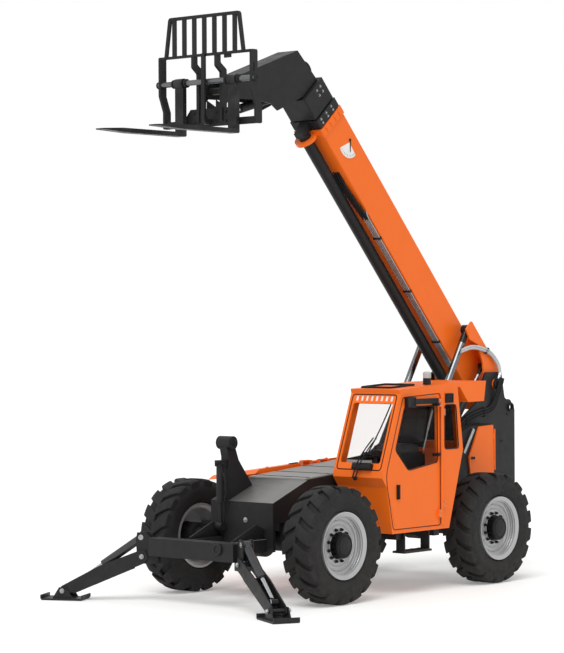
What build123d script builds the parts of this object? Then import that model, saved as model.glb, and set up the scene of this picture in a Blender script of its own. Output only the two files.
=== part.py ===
"""Telehandler with a four section boom, lowered front stabilisers and a side cab."""

import os
from math import atan2, cos, degrees, radians, sin, tan

from build123d import *

os.makedirs("parts", exist_ok=True)

# Whole machine, millimetres, X forward, Y to the cab side, Z up
WHEELBASE = 2880
TRACK = 2156
REAR_END_X = -2895
FORK_TIP_X = 3550
MID_X = -(REAR_END_X + FORK_TIP_X) / 2
RUN = 0.4
SEAT_GAP = 0.5
AXLE_X = WHEELBASE / 2

# Wheels and axles
TYRE_D = 1310
TYRE_W = 390
RIM_SEAT_D = 690
RIM_FLANGE_D = RIM_SEAT_D + 60
WHEEL_Z = TYRE_D / 2
TYRE_SIDES = 36
LUG_HEIGHT = 36
LUG_W = 74
LUG_SKEW = 72
HUB_R = 148
KINGPIN_Y = 800
KINGPIN_R = 45

# Main frame
PLATE_IN = 400
PLATE_T = 30
PLATE_OUT = PLATE_IN + PLATE_T
BOX_REAR_X = AXLE_X - 290
BOX_FRONT_X = AXLE_X + 300
BOX_HALF_W = 470

# Boom
PIVOT_X = -2480
PIVOT_Z = 2330
BOOM_ANGLE = 47.7
BOOM_LOW_ANGLE = -3.5
BOOM_W = 400
BOOM_H = 450
BOOM_WALL = 12
BOOM_CORNER = 16
BOOM_REAR = -230
BOOM_FRONT = 4275
SECTION_STEP = 42
PIVOT_R = 60
EXT_N = -BOOM_H / 2 - 92
EXT_R = 70
EXT_ROD_R = 38
LIFT_Y = 310
LIFT_PIN = (780, 150)
LIFT_BASE = (-950, 1200)
SLAVE_PIN = (230, 77)
SLAVE_BASE = (-1720, 1770)
NOSE = (5562, -1103)
TILT_BASE = (4953, -470)

# Fork carriage
CARRIAGE_BACK = 120
POST_Y = 690
POST_W = 30
POST_DEPTH = 100
POST_JOG = 70
SHAFT_R = 32
FORK_Y = 400
FORK_W = 125
FORK_T = 50

# Stabilisers
BEAM_X = BOX_FRONT_X + 755
BEAM_W = 190
LEG_PIVOT = (BEAM_X + 30, 770, 506)
LEG_SPLAY = 27
LEG_LENGTH = 1015
FOOT_PIN_Z = 105
LEG_BARREL_PIN = (17, 214)
LEG_ROD_S = LEG_LENGTH - 145

# Cab
CAB_IN = 500
CAB_OUT = 1220
CAB_WALL = 40
DOOR_GAP = 5
HINGE_X = -345
HINGE_Y = 1240
CAB_FOOT_X = AXLE_X - TYRE_D / 2 - 229

# Engine bay on the right
BAY_HALF = AXLE_X - TYRE_D / 2 - 185
BAY_OUT = 1200
HOOD_IN = 455
HOOD_FALL = 100
HOOD_HINGE = (-436, 1470)

BC = cos(radians(BOOM_ANGLE))
BS = sin(radians(BOOM_ANGLE))
LEG_FALL = LEG_PIVOT[2] - FOOT_PIN_Z
LEG_DROP = degrees(atan2(LEG_FALL, (LEG_LENGTH**2 - LEG_FALL**2) ** 0.5))


def keep(builder, name):
    """Label the finished piece and save it."""
    builder.part.label = name
    export_step(builder.part, f"parts/{name}.step")


def side(y):
    """Upright plane along the machine; extrudes towards the right."""
    return Plane(origin=(MID_X, y, 0), x_dir=(1, 0, 0), z_dir=(0, -1, 0))


def boom_side(y):
    """Side plane of the boom, measured from the boom pivot."""
    return Plane(origin=(MID_X + PIVOT_X, y, PIVOT_Z), x_dir=(BC, 0, BS), z_dir=(0, -1, 0))


def boom_cross(s, n=0):
    """Cross plane of the boom at a station from the boom pivot."""
    x = MID_X + PIVOT_X + BC * s - BS * n
    z = PIVOT_Z + BS * s + BC * n
    return Plane(origin=(x, 0, z), x_dir=(0, 1, 0), z_dir=(BC, 0, BS))


def boom_point(s, n):
    """Machine X and Z of a point given along and across the boom."""
    return (PIVOT_X + BC * s - BS * n, PIVOT_Z + BS * s + BC * n)


def plate(plane, points, thickness, mode=Mode.ADD, grow=0, soft=0):
    """Extrude one closed outline from a plane, with soft corners where asked."""
    with BuildSketch(plane) as outline:
        with BuildLine():
            Polyline(*points, close=True)
        make_face()
        if grow:
            offset(amount=grow, kind=Kind.INTERSECTION)
        if soft:
            fillet(outline.vertices(), soft)
    extrude(outline.sketch, amount=thickness, mode=mode)


def disc(plane, centre, radius, thickness, mode=Mode.ADD):
    """Extrude one round from a plane."""
    with BuildSketch(plane) as outline:
        with Locations(centre):
            Circle(radius)
    extrude(outline.sketch, amount=thickness, mode=mode)


def tube(s0, s1, width, height, wall):
    """Add one hollow boom section."""
    with BuildSketch(boom_cross(s0)) as outline:
        RectangleRounded(width, height, BOOM_CORNER)
        inside = max(BOOM_CORNER - wall, BOOM_CORNER / 4)
        RectangleRounded(width - 2 * wall, height - 2 * wall, inside, mode=Mode.SUBTRACT)
    extrude(outline.sketch, amount=s1 - s0)


def strut(y, start, end, offset_plane, width):
    """Plane whose X runs from a start point to an end point in a side plane."""
    angle = degrees(atan2(end[1] - start[1], end[0] - start[0]))
    base = offset_plane(y + width / 2)
    return Plane(
        origin=base.from_local_coords((start[0], start[1], 0)),
        x_dir=base.x_dir * cos(radians(angle)) + base.y_dir * sin(radians(angle)),
        z_dir=base.z_dir,
    )


def along(plane, s, depth):
    """Plane square to a strut plane at a distance along it."""
    origin = plane.from_local_coords((s, 0, depth))
    return Plane(origin=origin, x_dir=plane.z_dir, z_dir=plane.x_dir)


def span(start, end):
    """Distance between two points."""
    return ((end[0] - start[0]) ** 2 + (end[1] - start[1]) ** 2) ** 0.5


def barrel(plane, width, length, radius, bore, eye, pin):
    """Cylinder barrel with an eye at its foot."""
    disc(plane, (0, 0), eye, width)
    with BuildSketch(along(plane, 0, width / 2)) as shell:
        Circle(radius)
    extrude(shell.sketch, amount=length)
    with BuildSketch(along(plane, eye + 15, width / 2)) as hollow:
        Circle(bore)
    extrude(hollow.sketch, amount=length - eye - 15, mode=Mode.SUBTRACT)
    disc(plane.offset(width / 2 - radius - eye), (0, 0), pin, 2 * radius + 2 * eye, mode=Mode.SUBTRACT)


def piston_rod(plane, width, reach, length, radius, eye):
    """Rod whose eye stands at the reach of the strut plane."""
    with BuildSketch(along(plane, reach - length, width / 2)) as bar:
        Circle(radius)
    extrude(bar.sketch, amount=length)
    disc(plane, (reach, 0), eye, width)


# Frame side plates
PLATE_OUTLINE = [
    (BOX_REAR_X - SEAT_GAP, 640),
    (BOX_REAR_X - SEAT_GAP, 1330),
    (-450, 1450),
    (-1000, 1500),
    (-1600, 1800),
    (-2090, 2100),
    (-2300, 2480),
    (-2620, 2480),
    (-2690, 2135),
    (-2800, 2135),
    (REAR_END_X, 2010),
    (REAR_END_X, 1090),
    (-2700, 800),
    (-AXLE_X - 610, 760),
    (-AXLE_X - 510, 860),
    (-AXLE_X + 510, 860),
    (-AXLE_X + 590, 640),
]
LIFT_EYE = (-2800, 2035)
LIFT_EYE_R = 40
for hand, name in ((1, "frame_left"), (-1, "frame_right")):
    with BuildPart() as frame:
        face = side(PLATE_OUT if hand > 0 else -PLATE_IN)
        with BuildSketch(face) as outline:
            with BuildLine():
                Polyline(*PLATE_OUTLINE, close=True)
            make_face()
            fillet(outline.vertices().filter_by_position(Axis.X, REAR_END_X - 1, -2250), 60)
        extrude(outline.sketch, amount=PLATE_T)
        disc(face, (PIVOT_X, PIVOT_Z), PIVOT_R + RUN, PLATE_T, mode=Mode.SUBTRACT)
        disc(face, LIFT_EYE, LIFT_EYE_R + 4, PLATE_T, mode=Mode.SUBTRACT)
    keep(frame, name)

# Fittings on the side plates: lifting eyes, cylinder pins and cab brackets
EYE_T = 20
BRACKET_END = 1150
PIN_IN = LIFT_Y - 65
PIN_OUT = PLATE_IN - SEAT_GAP
with BuildPart() as frame_fittings:
    for hand in (1, -1):
        eye = side(PLATE_OUT + SEAT_GAP + EYE_T if hand > 0 else -PLATE_OUT - SEAT_GAP)
        disc(eye, LIFT_EYE, LIFT_EYE_R + 16, EYE_T)
        disc(eye, LIFT_EYE, LIFT_EYE_R, EYE_T, mode=Mode.SUBTRACT)
        disc(side(PIN_OUT if hand > 0 else -PIN_IN), LIFT_BASE, 35, PIN_OUT - PIN_IN)
    disc(side(PIN_OUT), SLAVE_BASE, 22, PIN_OUT - PIN_IN)
    for x in (-350, 350):
        with Locations((MID_X + x, (PLATE_OUT + SEAT_GAP + BRACKET_END) / 2, 680)):
            Box(100, BRACKET_END - PLATE_OUT - SEAT_GAP, 80)
keep(frame_fittings, "frame_fittings")

# Front box with the two arms that carry the stabiliser beam
with BuildPart() as front_frame:
    plate(
        side(BOX_HALF_W),
        [
            (BOX_REAR_X, 880),
            (BOX_REAR_X, 1330),
            (BOX_FRONT_X, 1105),
            (BOX_FRONT_X, 560),
            (BOX_FRONT_X - 40, 560),
            (BOX_FRONT_X - 40, 880),
        ],
        2 * BOX_HALF_W,
    )
    plate(
        side(BOX_HALF_W - 20),
        [
            (BOX_REAR_X + 40, 870),
            (BOX_REAR_X + 40, 1293),
            (BOX_FRONT_X - 40, 1098),
            (BOX_FRONT_X - 40, 870),
        ],
        2 * BOX_HALF_W - 40,
        mode=Mode.SUBTRACT,
    )
    for y in (-330, 330):
        arm = BEAM_X - BEAM_W / 2 - SEAT_GAP - BOX_FRONT_X
        with Locations((MID_X + BOX_FRONT_X + (arm - 10) / 2, y, 630)):
            Box(arm + 10, 100, 140)
keep(front_frame, "front_frame")

# Boom rest post and its roller
REST_X = BOX_FRONT_X - 40
REST_TOP = PIVOT_Z + (REST_X - PIVOT_X) * tan(radians(BOOM_LOW_ANGLE)) - 0.5 * BOOM_H - 15
BOX_SLOPE = (1330 - 1105) / (BOX_FRONT_X - BOX_REAR_X)


def box_top(x):
    """Height of the sloping front box top."""
    return 1105 + (BOX_FRONT_X - x) * BOX_SLOPE + SEAT_GAP


with BuildPart() as boom_rest:
    plate(
        side(-205),
        [
            (REST_X - 370, box_top(REST_X - 370)),
            (REST_X + 35, box_top(REST_X + 35)),
            (REST_X + 35, 1600),
            (REST_X + 70, REST_TOP - 90),
            (REST_X - 70, REST_TOP - 90),
            (REST_X - 140, 1560),
        ],
        110,
    )
    disc(side(-160), (REST_X, REST_TOP - 76), 76, 200)
keep(boom_rest, "boom_rest")

# Frame levelling cylinder ahead of the rest post
with BuildPart() as sway_cylinder:
    with Locations((MID_X + REST_X + 115, -260, 1300)):
        Cylinder(42, 420)
    with Locations((MID_X + REST_X + 115, -260, 1000)):
        Cylinder(25, 300)
    with Locations(Location((MID_X + REST_X + 115, -260, 820), (90, 0, 0))):
        Cylinder(46, 90)
    with Locations((MID_X + REST_X + (35 + SEAT_GAP + 160) / 2, -260, 1530)):
        Box(160 - 35 - SEAT_GAP, 80, 70)
keep(sway_cylinder, "sway_cylinder")

# Counterweight between the plates
with BuildPart() as counterweight:
    plate(
        side(PLATE_IN - SEAT_GAP),
        [(-2880, 1100), (-2880, 1620), (-2450, 1500), (-2300, 900), (-2680, 820)],
        2 * (PLATE_IN - SEAT_GAP),
        soft=50,
    )
keep(counterweight, "counterweight")

# Deck over the frame in front of the lift cylinders, with the pins of the hood
HOOD_HINGES = (-180, 140)
with BuildPart() as deck:
    plate(
        side(PLATE_OUT),
        [(BOX_REAR_X, 1331), (-450, 1451), (-450, 1466), (BOX_REAR_X, 1346)],
        PLATE_OUT + PLATE_OUT - 10,
    )
    for x in HOOD_HINGES:
        foot = 1466 - (x + 450) * (1466 - 1346) / (BOX_REAR_X + 450)
        for end in (x - 85, x + 85):
            with Locations((MID_X + end, (HOOD_HINGE[0] + 4 - 400) / 2, (foot + HOOD_HINGE[1]) / 2 + 2)):
                Box(10, -HOOD_HINGE[0] + 8 - 400 + 4, HOOD_HINGE[1] + 14 - foot)
        with Locations(Location((MID_X + x, HOOD_HINGE[0], HOOD_HINGE[1]), (0, 90, 0))):
            Cylinder(6, 180)
keep(deck, "deck")

# Axles
for x, name, half, top in (
    (AXLE_X, "front_axle", 432, 880 - SEAT_GAP),
    (-AXLE_X, "rear_axle", 415, 860 - SEAT_GAP),
):
    with BuildPart() as axle:
        with Locations(Location((MID_X + x, 0, WHEEL_Z), (90, 0, 0))):
            Cylinder(110, 2 * 580)
            Cylinder(190, 320)
        chamfer(axle.edges().filter_by(GeomType.CIRCLE).filter_by(lambda e: e.radius > 150), 60)
        for y in (-half, half):
            with Locations((MID_X + x, y, (WHEEL_Z + top) / 2)):
                Box(220, 60, top - WHEEL_Z)
        for hand in (1, -1):
            with Locations((MID_X + x, hand * 585, WHEEL_Z)):
                Box(170, 50, 370)
            for z in (160, -160):
                with Locations((MID_X + x, hand * 690, WHEEL_Z + z)):
                    Box(150, 220, 45)
                with Locations((MID_X + x, hand * KINGPIN_Y, WHEEL_Z + z)):
                    Cylinder(75, 45)
                    Cylinder(KINGPIN_R + RUN, 45, mode=Mode.SUBTRACT)
    keep(axle, name)

# One tyre with its bar lugs, standing on a lug at the origin's height
SEAT_R = RIM_SEAT_D / 2
FLANGE_R = RIM_FLANGE_D / 2
CROWN_R = WHEEL_Z - LUG_HEIGHT
BULGE_R = (FLANGE_R + CROWN_R) / 2 + 22
BEAD_Y = 150


def ring_side(y):
    """Plane square to the wheel's axle."""
    return Plane(origin=(0, y, 0), x_dir=(1, 0, 0), z_dir=(0, 1, 0))


def ring_face(y, flat):
    """Many-sided face square to the axle, a flat side down."""
    with BuildSketch(ring_side(y)) as outline:
        RegularPolygon(flat, TYRE_SIDES, major_radius=False, rotation=180 / TYRE_SIDES)
    return outline.sketch


with BuildPart() as lugs:
    for k in range(TYRE_SIDES):
        hand = 1 if k % 2 else -1
        turn = radians(k * 360 / TYRE_SIDES)
        down = Vector(sin(turn), 0, -cos(turn))
        with BuildSketch(Plane(origin=down * BULGE_R, x_dir=(cos(turn), 0, sin(turn)), z_dir=down)):
            with BuildLine():
                Polyline(
                    (-LUG_W / 2, hand * (TYRE_W / 2 - 6)),
                    (LUG_W / 2, hand * (TYRE_W / 2 - 6)),
                    (LUG_W / 2 + LUG_SKEW, -hand * 12),
                    (-LUG_W / 2 + LUG_SKEW, -hand * 12),
                    close=True,
                )
            make_face()
    extrude(amount=TYRE_D)
    extrude(ring_face(-TYRE_W, WHEEL_Z), amount=2 * TYRE_W, mode=Mode.INTERSECT)

with BuildPart() as lugged_tyre:
    crown = ((-0.5, BULGE_R), (-0.41, CROWN_R), (0.41, CROWN_R), (0.5, BULGE_R))
    loft([ring_face(share * TYRE_W, flat) for share, flat in crown], ruled=True)
    for hand in (1, -1):
        rims = [ring_face(hand * TYRE_W / 2, BULGE_R), ring_face(hand * BEAD_Y, FLANGE_R + 7)]
        loft(rims, ruled=True, mode=Mode.SUBTRACT)
    extrude(ring_face(-TYRE_W, SEAT_R), amount=2 * TYRE_W, mode=Mode.SUBTRACT)
    add(lugs.part)

# Steering knuckles, rims and tyres
HUB_IN = TRACK / 2 - KINGPIN_Y
for x, end in ((AXLE_X, "front"), (-AXLE_X, "rear")):
    for hand, flank in ((1, "left"), (-1, "right")):
        tag = f"{end}_{flank}"
        centre = (MID_X + x, hand * TRACK / 2, WHEEL_Z)
        axial = Plane(origin=centre, x_dir=(1, 0, 0), z_dir=(0, hand, 0))
        radial = Plane(origin=centre, x_dir=(0, hand, 0), z_dir=(1, 0, 0))
        spin = Axis(centre, (0, 1, 0))
        with BuildPart() as knuckle:
            disc(axial.offset(-HUB_IN), (0, 0), 95, HUB_IN)
            disc(axial.offset(-BEAD_Y), (0, 0), HUB_R, BEAD_Y + 60 - RUN)
            with Locations((MID_X + x, hand * KINGPIN_Y, WHEEL_Z)):
                Cylinder(75, 255)
                Cylinder(KINGPIN_R, 366)
        keep(knuckle, f"knuckle_{tag}")
        with BuildPart() as rim:
            with BuildSketch(radial):
                with BuildLine():
                    Polyline(
                        (-BEAD_Y - 20, FLANGE_R),
                        (-BEAD_Y - 2, FLANGE_R),
                        (-BEAD_Y - 2, SEAT_R - RUN),
                        (BEAD_Y + 2, SEAT_R - RUN),
                        (BEAD_Y + 2, FLANGE_R),
                        (BEAD_Y + 37, FLANGE_R),
                        (BEAD_Y + 37, FLANGE_R - 12),
                        (BEAD_Y + 18, SEAT_R - 16),
                        (100, SEAT_R - 26),
                        (90, SEAT_R - 44),
                        (82, (SEAT_R + HUB_R) / 2),
                        (90, HUB_R + 8),
                        (98, HUB_R),
                        (172, HUB_R - 8),
                        (182, HUB_R - 20),
                        (182, 0),
                        (60, 0),
                        (60, SEAT_R - 60),
                        (-BEAD_Y + 6, SEAT_R - 24),
                        (-BEAD_Y - 20, FLANGE_R - 24),
                        close=True,
                    )
                make_face()
            revolve(axis=spin)
        keep(rim, f"rim_{tag}")
        with BuildPart() as tyre:
            with Locations(Location(centre, (0, 0, 0 if hand > 0 else 180))):
                add(lugged_tyre.part)
        keep(tyre, f"tyre_{tag}")

# Stabiliser beam with its end lugs
LEG_D = (sin(radians(LEG_SPLAY)), cos(radians(LEG_SPLAY)))


def leg_level(hand):
    """Upright plane of one leg, X outwards along its plan direction."""
    return Plane(
        origin=(MID_X + LEG_PIVOT[0], hand * LEG_PIVOT[1], LEG_PIVOT[2]),
        x_dir=(LEG_D[0], hand * LEG_D[1], 0),
        z_dir=(hand * LEG_D[1], -LEG_D[0], 0),
    )


def leg_slope(hand):
    """Plane of one leg with X running down the leg."""
    flat = leg_level(hand)
    drop = radians(LEG_DROP)
    return Plane(
        origin=flat.origin,
        x_dir=flat.x_dir * cos(drop) - flat.y_dir * sin(drop),
        z_dir=flat.z_dir,
    )


LUG_OUTLINE = [
    (-180, -80),
    (-20, -80),
    (60, -40),
    (75, 180),
    (60, 270),
    (-40, 270),
    (-110, 200),
    (-180, 200),
]
LEG_OUTLINE = [
    (-60, -40),
    (-60, 50),
    (0, 75),
    (LEG_LENGTH / 2, 95),
    (LEG_LENGTH, 55),
    (LEG_LENGTH + 50, 0),
    (LEG_LENGTH, -55),
    (LEG_LENGTH / 2, -75),
    (0, -75),
]
with BuildPart() as outrigger_beam:
    with Locations((MID_X + BEAM_X, 0, 620)):
        Box(BEAM_W, 1280, 200)
        Box(BEAM_W - 30, 1240, 170, mode=Mode.SUBTRACT)
    for hand in (1, -1):
        for a in (52, -66):
            plate(
                leg_level(hand).offset(a),
                LUG_OUTLINE,
                14,
            )
        disc(leg_level(hand).offset(-95), (0, 0), 30, 190)
        disc(leg_level(hand).offset(-66), LEG_BARREL_PIN, 22, 132)
keep(outrigger_beam, "outrigger_beam")

for hand, flank in ((1, "left"), (-1, "right")):
    slope = leg_slope(hand)
    with BuildPart() as leg:
        for a in (72, -87):
            plate(
                slope.offset(a),
                LEG_OUTLINE,
                15,
            )
        rib_end = LEG_LENGTH - 100
        plate(slope.offset(-87), [(180, -84), (180, -70), (rib_end, -62), (rib_end, -76)], 174)
        disc(slope.offset(-87), (0, 0), 30 + RUN, 174, mode=Mode.SUBTRACT)
        disc(slope.offset(-87), (LEG_LENGTH, 0), 24 + RUN, 174, mode=Mode.SUBTRACT)
    keep(leg, f"leg_{flank}")
    flat = leg_level(hand)
    foot_s = LEG_LENGTH * cos(radians(LEG_DROP))
    foot_n = FOOT_PIN_Z - LEG_PIVOT[2]
    sole = -LEG_PIVOT[2]
    with BuildPart() as foot:
        plate(
            flat.offset(-150),
            [
                (foot_s - 230, sole),
                (foot_s - 250, sole + 22),
                (foot_s + 250, sole + 22),
                (foot_s + 230, sole),
            ],
            300,
        )
        for a in (93, -107):
            plate(
                flat.offset(a),
                [
                    (foot_s - 120, sole + 20),
                    (foot_s - 40, foot_n + 40),
                    (foot_s + 40, foot_n + 40),
                    (foot_s + 120, sole + 20),
                ],
                14,
            )
        disc(flat.offset(-120), (foot_s, foot_n), 24, 240)
    keep(foot, f"foot_{flank}")
    rod_pin = slope.from_local_coords((LEG_ROD_S, 20, 0))
    rod_local = flat.to_local_coords(rod_pin)
    reach = span(LEG_BARREL_PIN, (rod_local.X, rod_local.Y))
    lie = atan2(rod_local.Y - LEG_BARREL_PIN[1], rod_local.X - LEG_BARREL_PIN[0])
    line = Plane(
        origin=flat.from_local_coords((LEG_BARREL_PIN[0], LEG_BARREL_PIN[1], -45)),
        x_dir=flat.x_dir * cos(lie) + flat.y_dir * sin(lie),
        z_dir=flat.z_dir,
    )
    with BuildPart() as leg_barrel:
        barrel(line, 90, 560, 48, 28 + RUN, 45, 22 + RUN)
    keep(leg_barrel, f"leg_barrel_{flank}")
    with BuildPart() as leg_rod:
        piston_rod(line, 90, reach, 595, 28, 36)
    keep(leg_rod, f"leg_rod_{flank}")

# Outer boom section
TOP = BOOM_H / 2
EAR_OUTLINE = [
    (BOOM_REAR + 60, -90),
    (BOOM_REAR + 60, 120),
    (0, TOP),
    (860, TOP),
    (860, 70),
    (720, 40),
    (560, 120),
    (320, 40),
    (120, -100),
    (-60, -110),
]
with BuildPart() as boom_outer:
    tube(BOOM_REAR, BOOM_FRONT, BOOM_W, BOOM_H, BOOM_WALL)
    tube(BOOM_FRONT - 110, BOOM_FRONT, BOOM_W + 24, BOOM_H + 24, 14)
    for hand in (1, -1):
        lug = boom_side(388 if hand > 0 else -368)
        plate(lug, EAR_OUTLINE, 20, soft=18)
        shelf = boom_side(369 if hand > 0 else -BOOM_W / 2 + 10)
        plate(shelf, [(-40, TOP - 22), (-40, TOP), (600, TOP), (600, TOP - 22)], 369 - BOOM_W / 2 + 10)
    disc(boom_side(450), (0, 0), PIVOT_R, 900)
    for y in (80, -60):
        plate(boom_side(y), [(40, -TOP + 1), (60, EXT_N - 50), (170, EXT_N - 50), (200, -TOP + 1)], 20)
    disc(boom_side(80), (120, EXT_N), 25, 160)
    with BuildSketch(boom_cross(BOOM_FRONT - 70)):
        with Locations((0, EXT_N)):
            Circle(EXT_R + 66)
        with Locations((0, -TOP - 12)):
            Rectangle(2 * EXT_R + 132, 26)
        with Locations((0, EXT_N)):
            Circle(EXT_R + 8, mode=Mode.SUBTRACT)
        with Locations((0, 0)):
            Rectangle(BOOM_W, BOOM_H - 2 * BOOM_WALL, mode=Mode.SUBTRACT)
    extrude(amount=40)
keep(boom_outer, "boom_outer")

# Second section with its collar and the foot of the extension cylinder
W2 = BOOM_W - SECTION_STEP
H2 = BOOM_H - SECTION_STEP
W3 = W2 - SECTION_STEP
H3 = H2 - SECTION_STEP
W4 = W3 - SECTION_STEP
H4 = H3 - SECTION_STEP
SECTION_WALL = 10
COLLAR_2 = BOOM_FRONT + 15
COLLAR_3 = COLLAR_2 + 125
HEAD = COLLAR_3 + 300
with BuildPart() as boom_second:
    tube(60, COLLAR_2 + 110, W2, H2, SECTION_WALL)
    tube(60, 180, BOOM_W - 2 * BOOM_WALL - 2 * RUN, BOOM_H - 2 * BOOM_WALL - 2 * RUN, 16)
    tube(COLLAR_2, COLLAR_2 + 110, BOOM_W + 20, BOOM_H - 10, (BOOM_W + 20 - W2) / 2 + 5)
    plate(
        boom_side(60),
        [
            (COLLAR_2, -TOP + 30),
            (COLLAR_2, EXT_N - 75),
            (COLLAR_2 + 70, EXT_N - 75),
            (COLLAR_2 + 110, -TOP + 30),
        ],
        120,
    )
keep(boom_second, "boom_second")

with BuildPart() as boom_third:
    tube(110, COLLAR_3 + 290, W3, H3, SECTION_WALL)
    tube(110, 230, W2 - 2 * SECTION_WALL - 2 * RUN, H2 - 2 * SECTION_WALL - 2 * RUN, 16)
    tube(COLLAR_3, COLLAR_3 + 290, W2 + 30, H2 + 20, (W2 + 30 - W3) / 2 + 5)
keep(boom_third, "boom_third")

# Fly section with the dropped neck
NECK = [
    (HEAD - 160, H4 / 2 - 1),
    (HEAD + 30, H4 / 2),
    (HEAD + 456, 120),
    (NOSE[0] + 78, NOSE[1] + 103),
    (NOSE[0] + 78, NOSE[1] - 47),
    (NOSE[0] - 42, NOSE[1] - 82),
    (NOSE[0] - 341, NOSE[1] + 263),
    (TILT_BASE[0] + 58, TILT_BASE[1] - 180),
    (TILT_BASE[0] - 73, TILT_BASE[1] - 144),
    (HEAD + 10, -H4 / 2),
    (HEAD - 160, -H4 / 2 + 1),
]
with BuildPart() as boom_fly:
    tube(160, HEAD + 40, W4, H4, SECTION_WALL)
    tube(160, 280, W3 - 2 * SECTION_WALL - 2 * RUN, H3 - 2 * SECTION_WALL - 2 * RUN, 16)
    for y in (150, -130):
        plate(boom_side(y), [(HEAD + 5, H4 / 2)] + NECK[2:9] + [(HEAD + 5, -H4 / 2)], 20)
    plate(
        boom_side(131),
        [
            (HEAD + 5, H4 / 2 - 24),
            (HEAD + 5, H4 / 2),
            NECK[2],
            (NOSE[0] + 58, NOSE[1] + 153),
            (NOSE[0] + 36, NOSE[1] + 143),
            (NECK[2][0] - 16, NECK[2][1] - 22),
        ],
        262,
    )
    disc(boom_side(190), NOSE, 40, 380)
    disc(boom_side(150), TILT_BASE, 30, 300)
keep(boom_fly, "boom_fly")

# Extension cylinder under the boom
with BuildPart() as extend_barrel:
    with BuildSketch(boom_cross(340, EXT_N)):
        Circle(EXT_R)
        Circle(EXT_ROD_R + 4, mode=Mode.SUBTRACT)
    extrude(amount=COLLAR_2 - SEAT_GAP - 340)
keep(extend_barrel, "extend_barrel")

with BuildPart() as extend_rod:
    with BuildSketch(boom_cross(120, EXT_N)):
        Circle(EXT_ROD_R)
    extrude(amount=4000)
    disc(boom_side(55), (120, EXT_N), 48, 110)
    disc(boom_side(55), (120, EXT_N), 25 + RUN, 110, mode=Mode.SUBTRACT)
keep(extend_rod, "extend_rod")

# Boom lift cylinders
lift_top = boom_point(*LIFT_PIN)
lift_reach = span(LIFT_BASE, lift_top)
with BuildPart() as lift_barrels:
    for y in (LIFT_Y, -LIFT_Y):
        barrel(strut(y, LIFT_BASE, lift_top, side, 120), 120, 1270, 68, 42 + RUN, 75, 35 + RUN)
keep(lift_barrels, "lift_barrels")
with BuildPart() as lift_rods:
    for y in (LIFT_Y, -LIFT_Y):
        piston_rod(strut(y, LIFT_BASE, lift_top, side, 100), 100, lift_reach, 1310, 42, 62)
keep(lift_rods, "lift_rods")

# Slave cylinder of the fork levelling
slave_top = boom_point(*SLAVE_PIN)
slave_reach = span(SLAVE_BASE, slave_top)
slave_line = strut(LIFT_Y, SLAVE_BASE, slave_top, side, 80)
with BuildPart() as slave_barrel:
    barrel(slave_line, 80, 640, 44, 25 + RUN, 50, 22 + RUN)
keep(slave_barrel, "slave_barrel")
with BuildPart() as slave_rod:
    piston_rod(slave_line, 80, slave_reach, 600, 25, 40)
keep(slave_rod, "slave_rod")

# Fork tilt cylinder inside the neck
nose = boom_point(*NOSE)
tilt_base = boom_point(*TILT_BASE)
tilt_pin = (nose[0] - 80, nose[1] - 250)
tilt_reach = span(tilt_base, tilt_pin)
tilt_line = strut(0, tilt_base, tilt_pin, side, 100)
with BuildPart() as tilt_barrel:
    barrel(tilt_line, 100, 560, 52, 30 + RUN, 58, 30 + RUN)
keep(tilt_barrel, "tilt_barrel")
with BuildPart() as tilt_rod:
    piston_rod(tilt_line, 100, tilt_reach, 590, 30, 44)
keep(tilt_rod, "tilt_rod")

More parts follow.
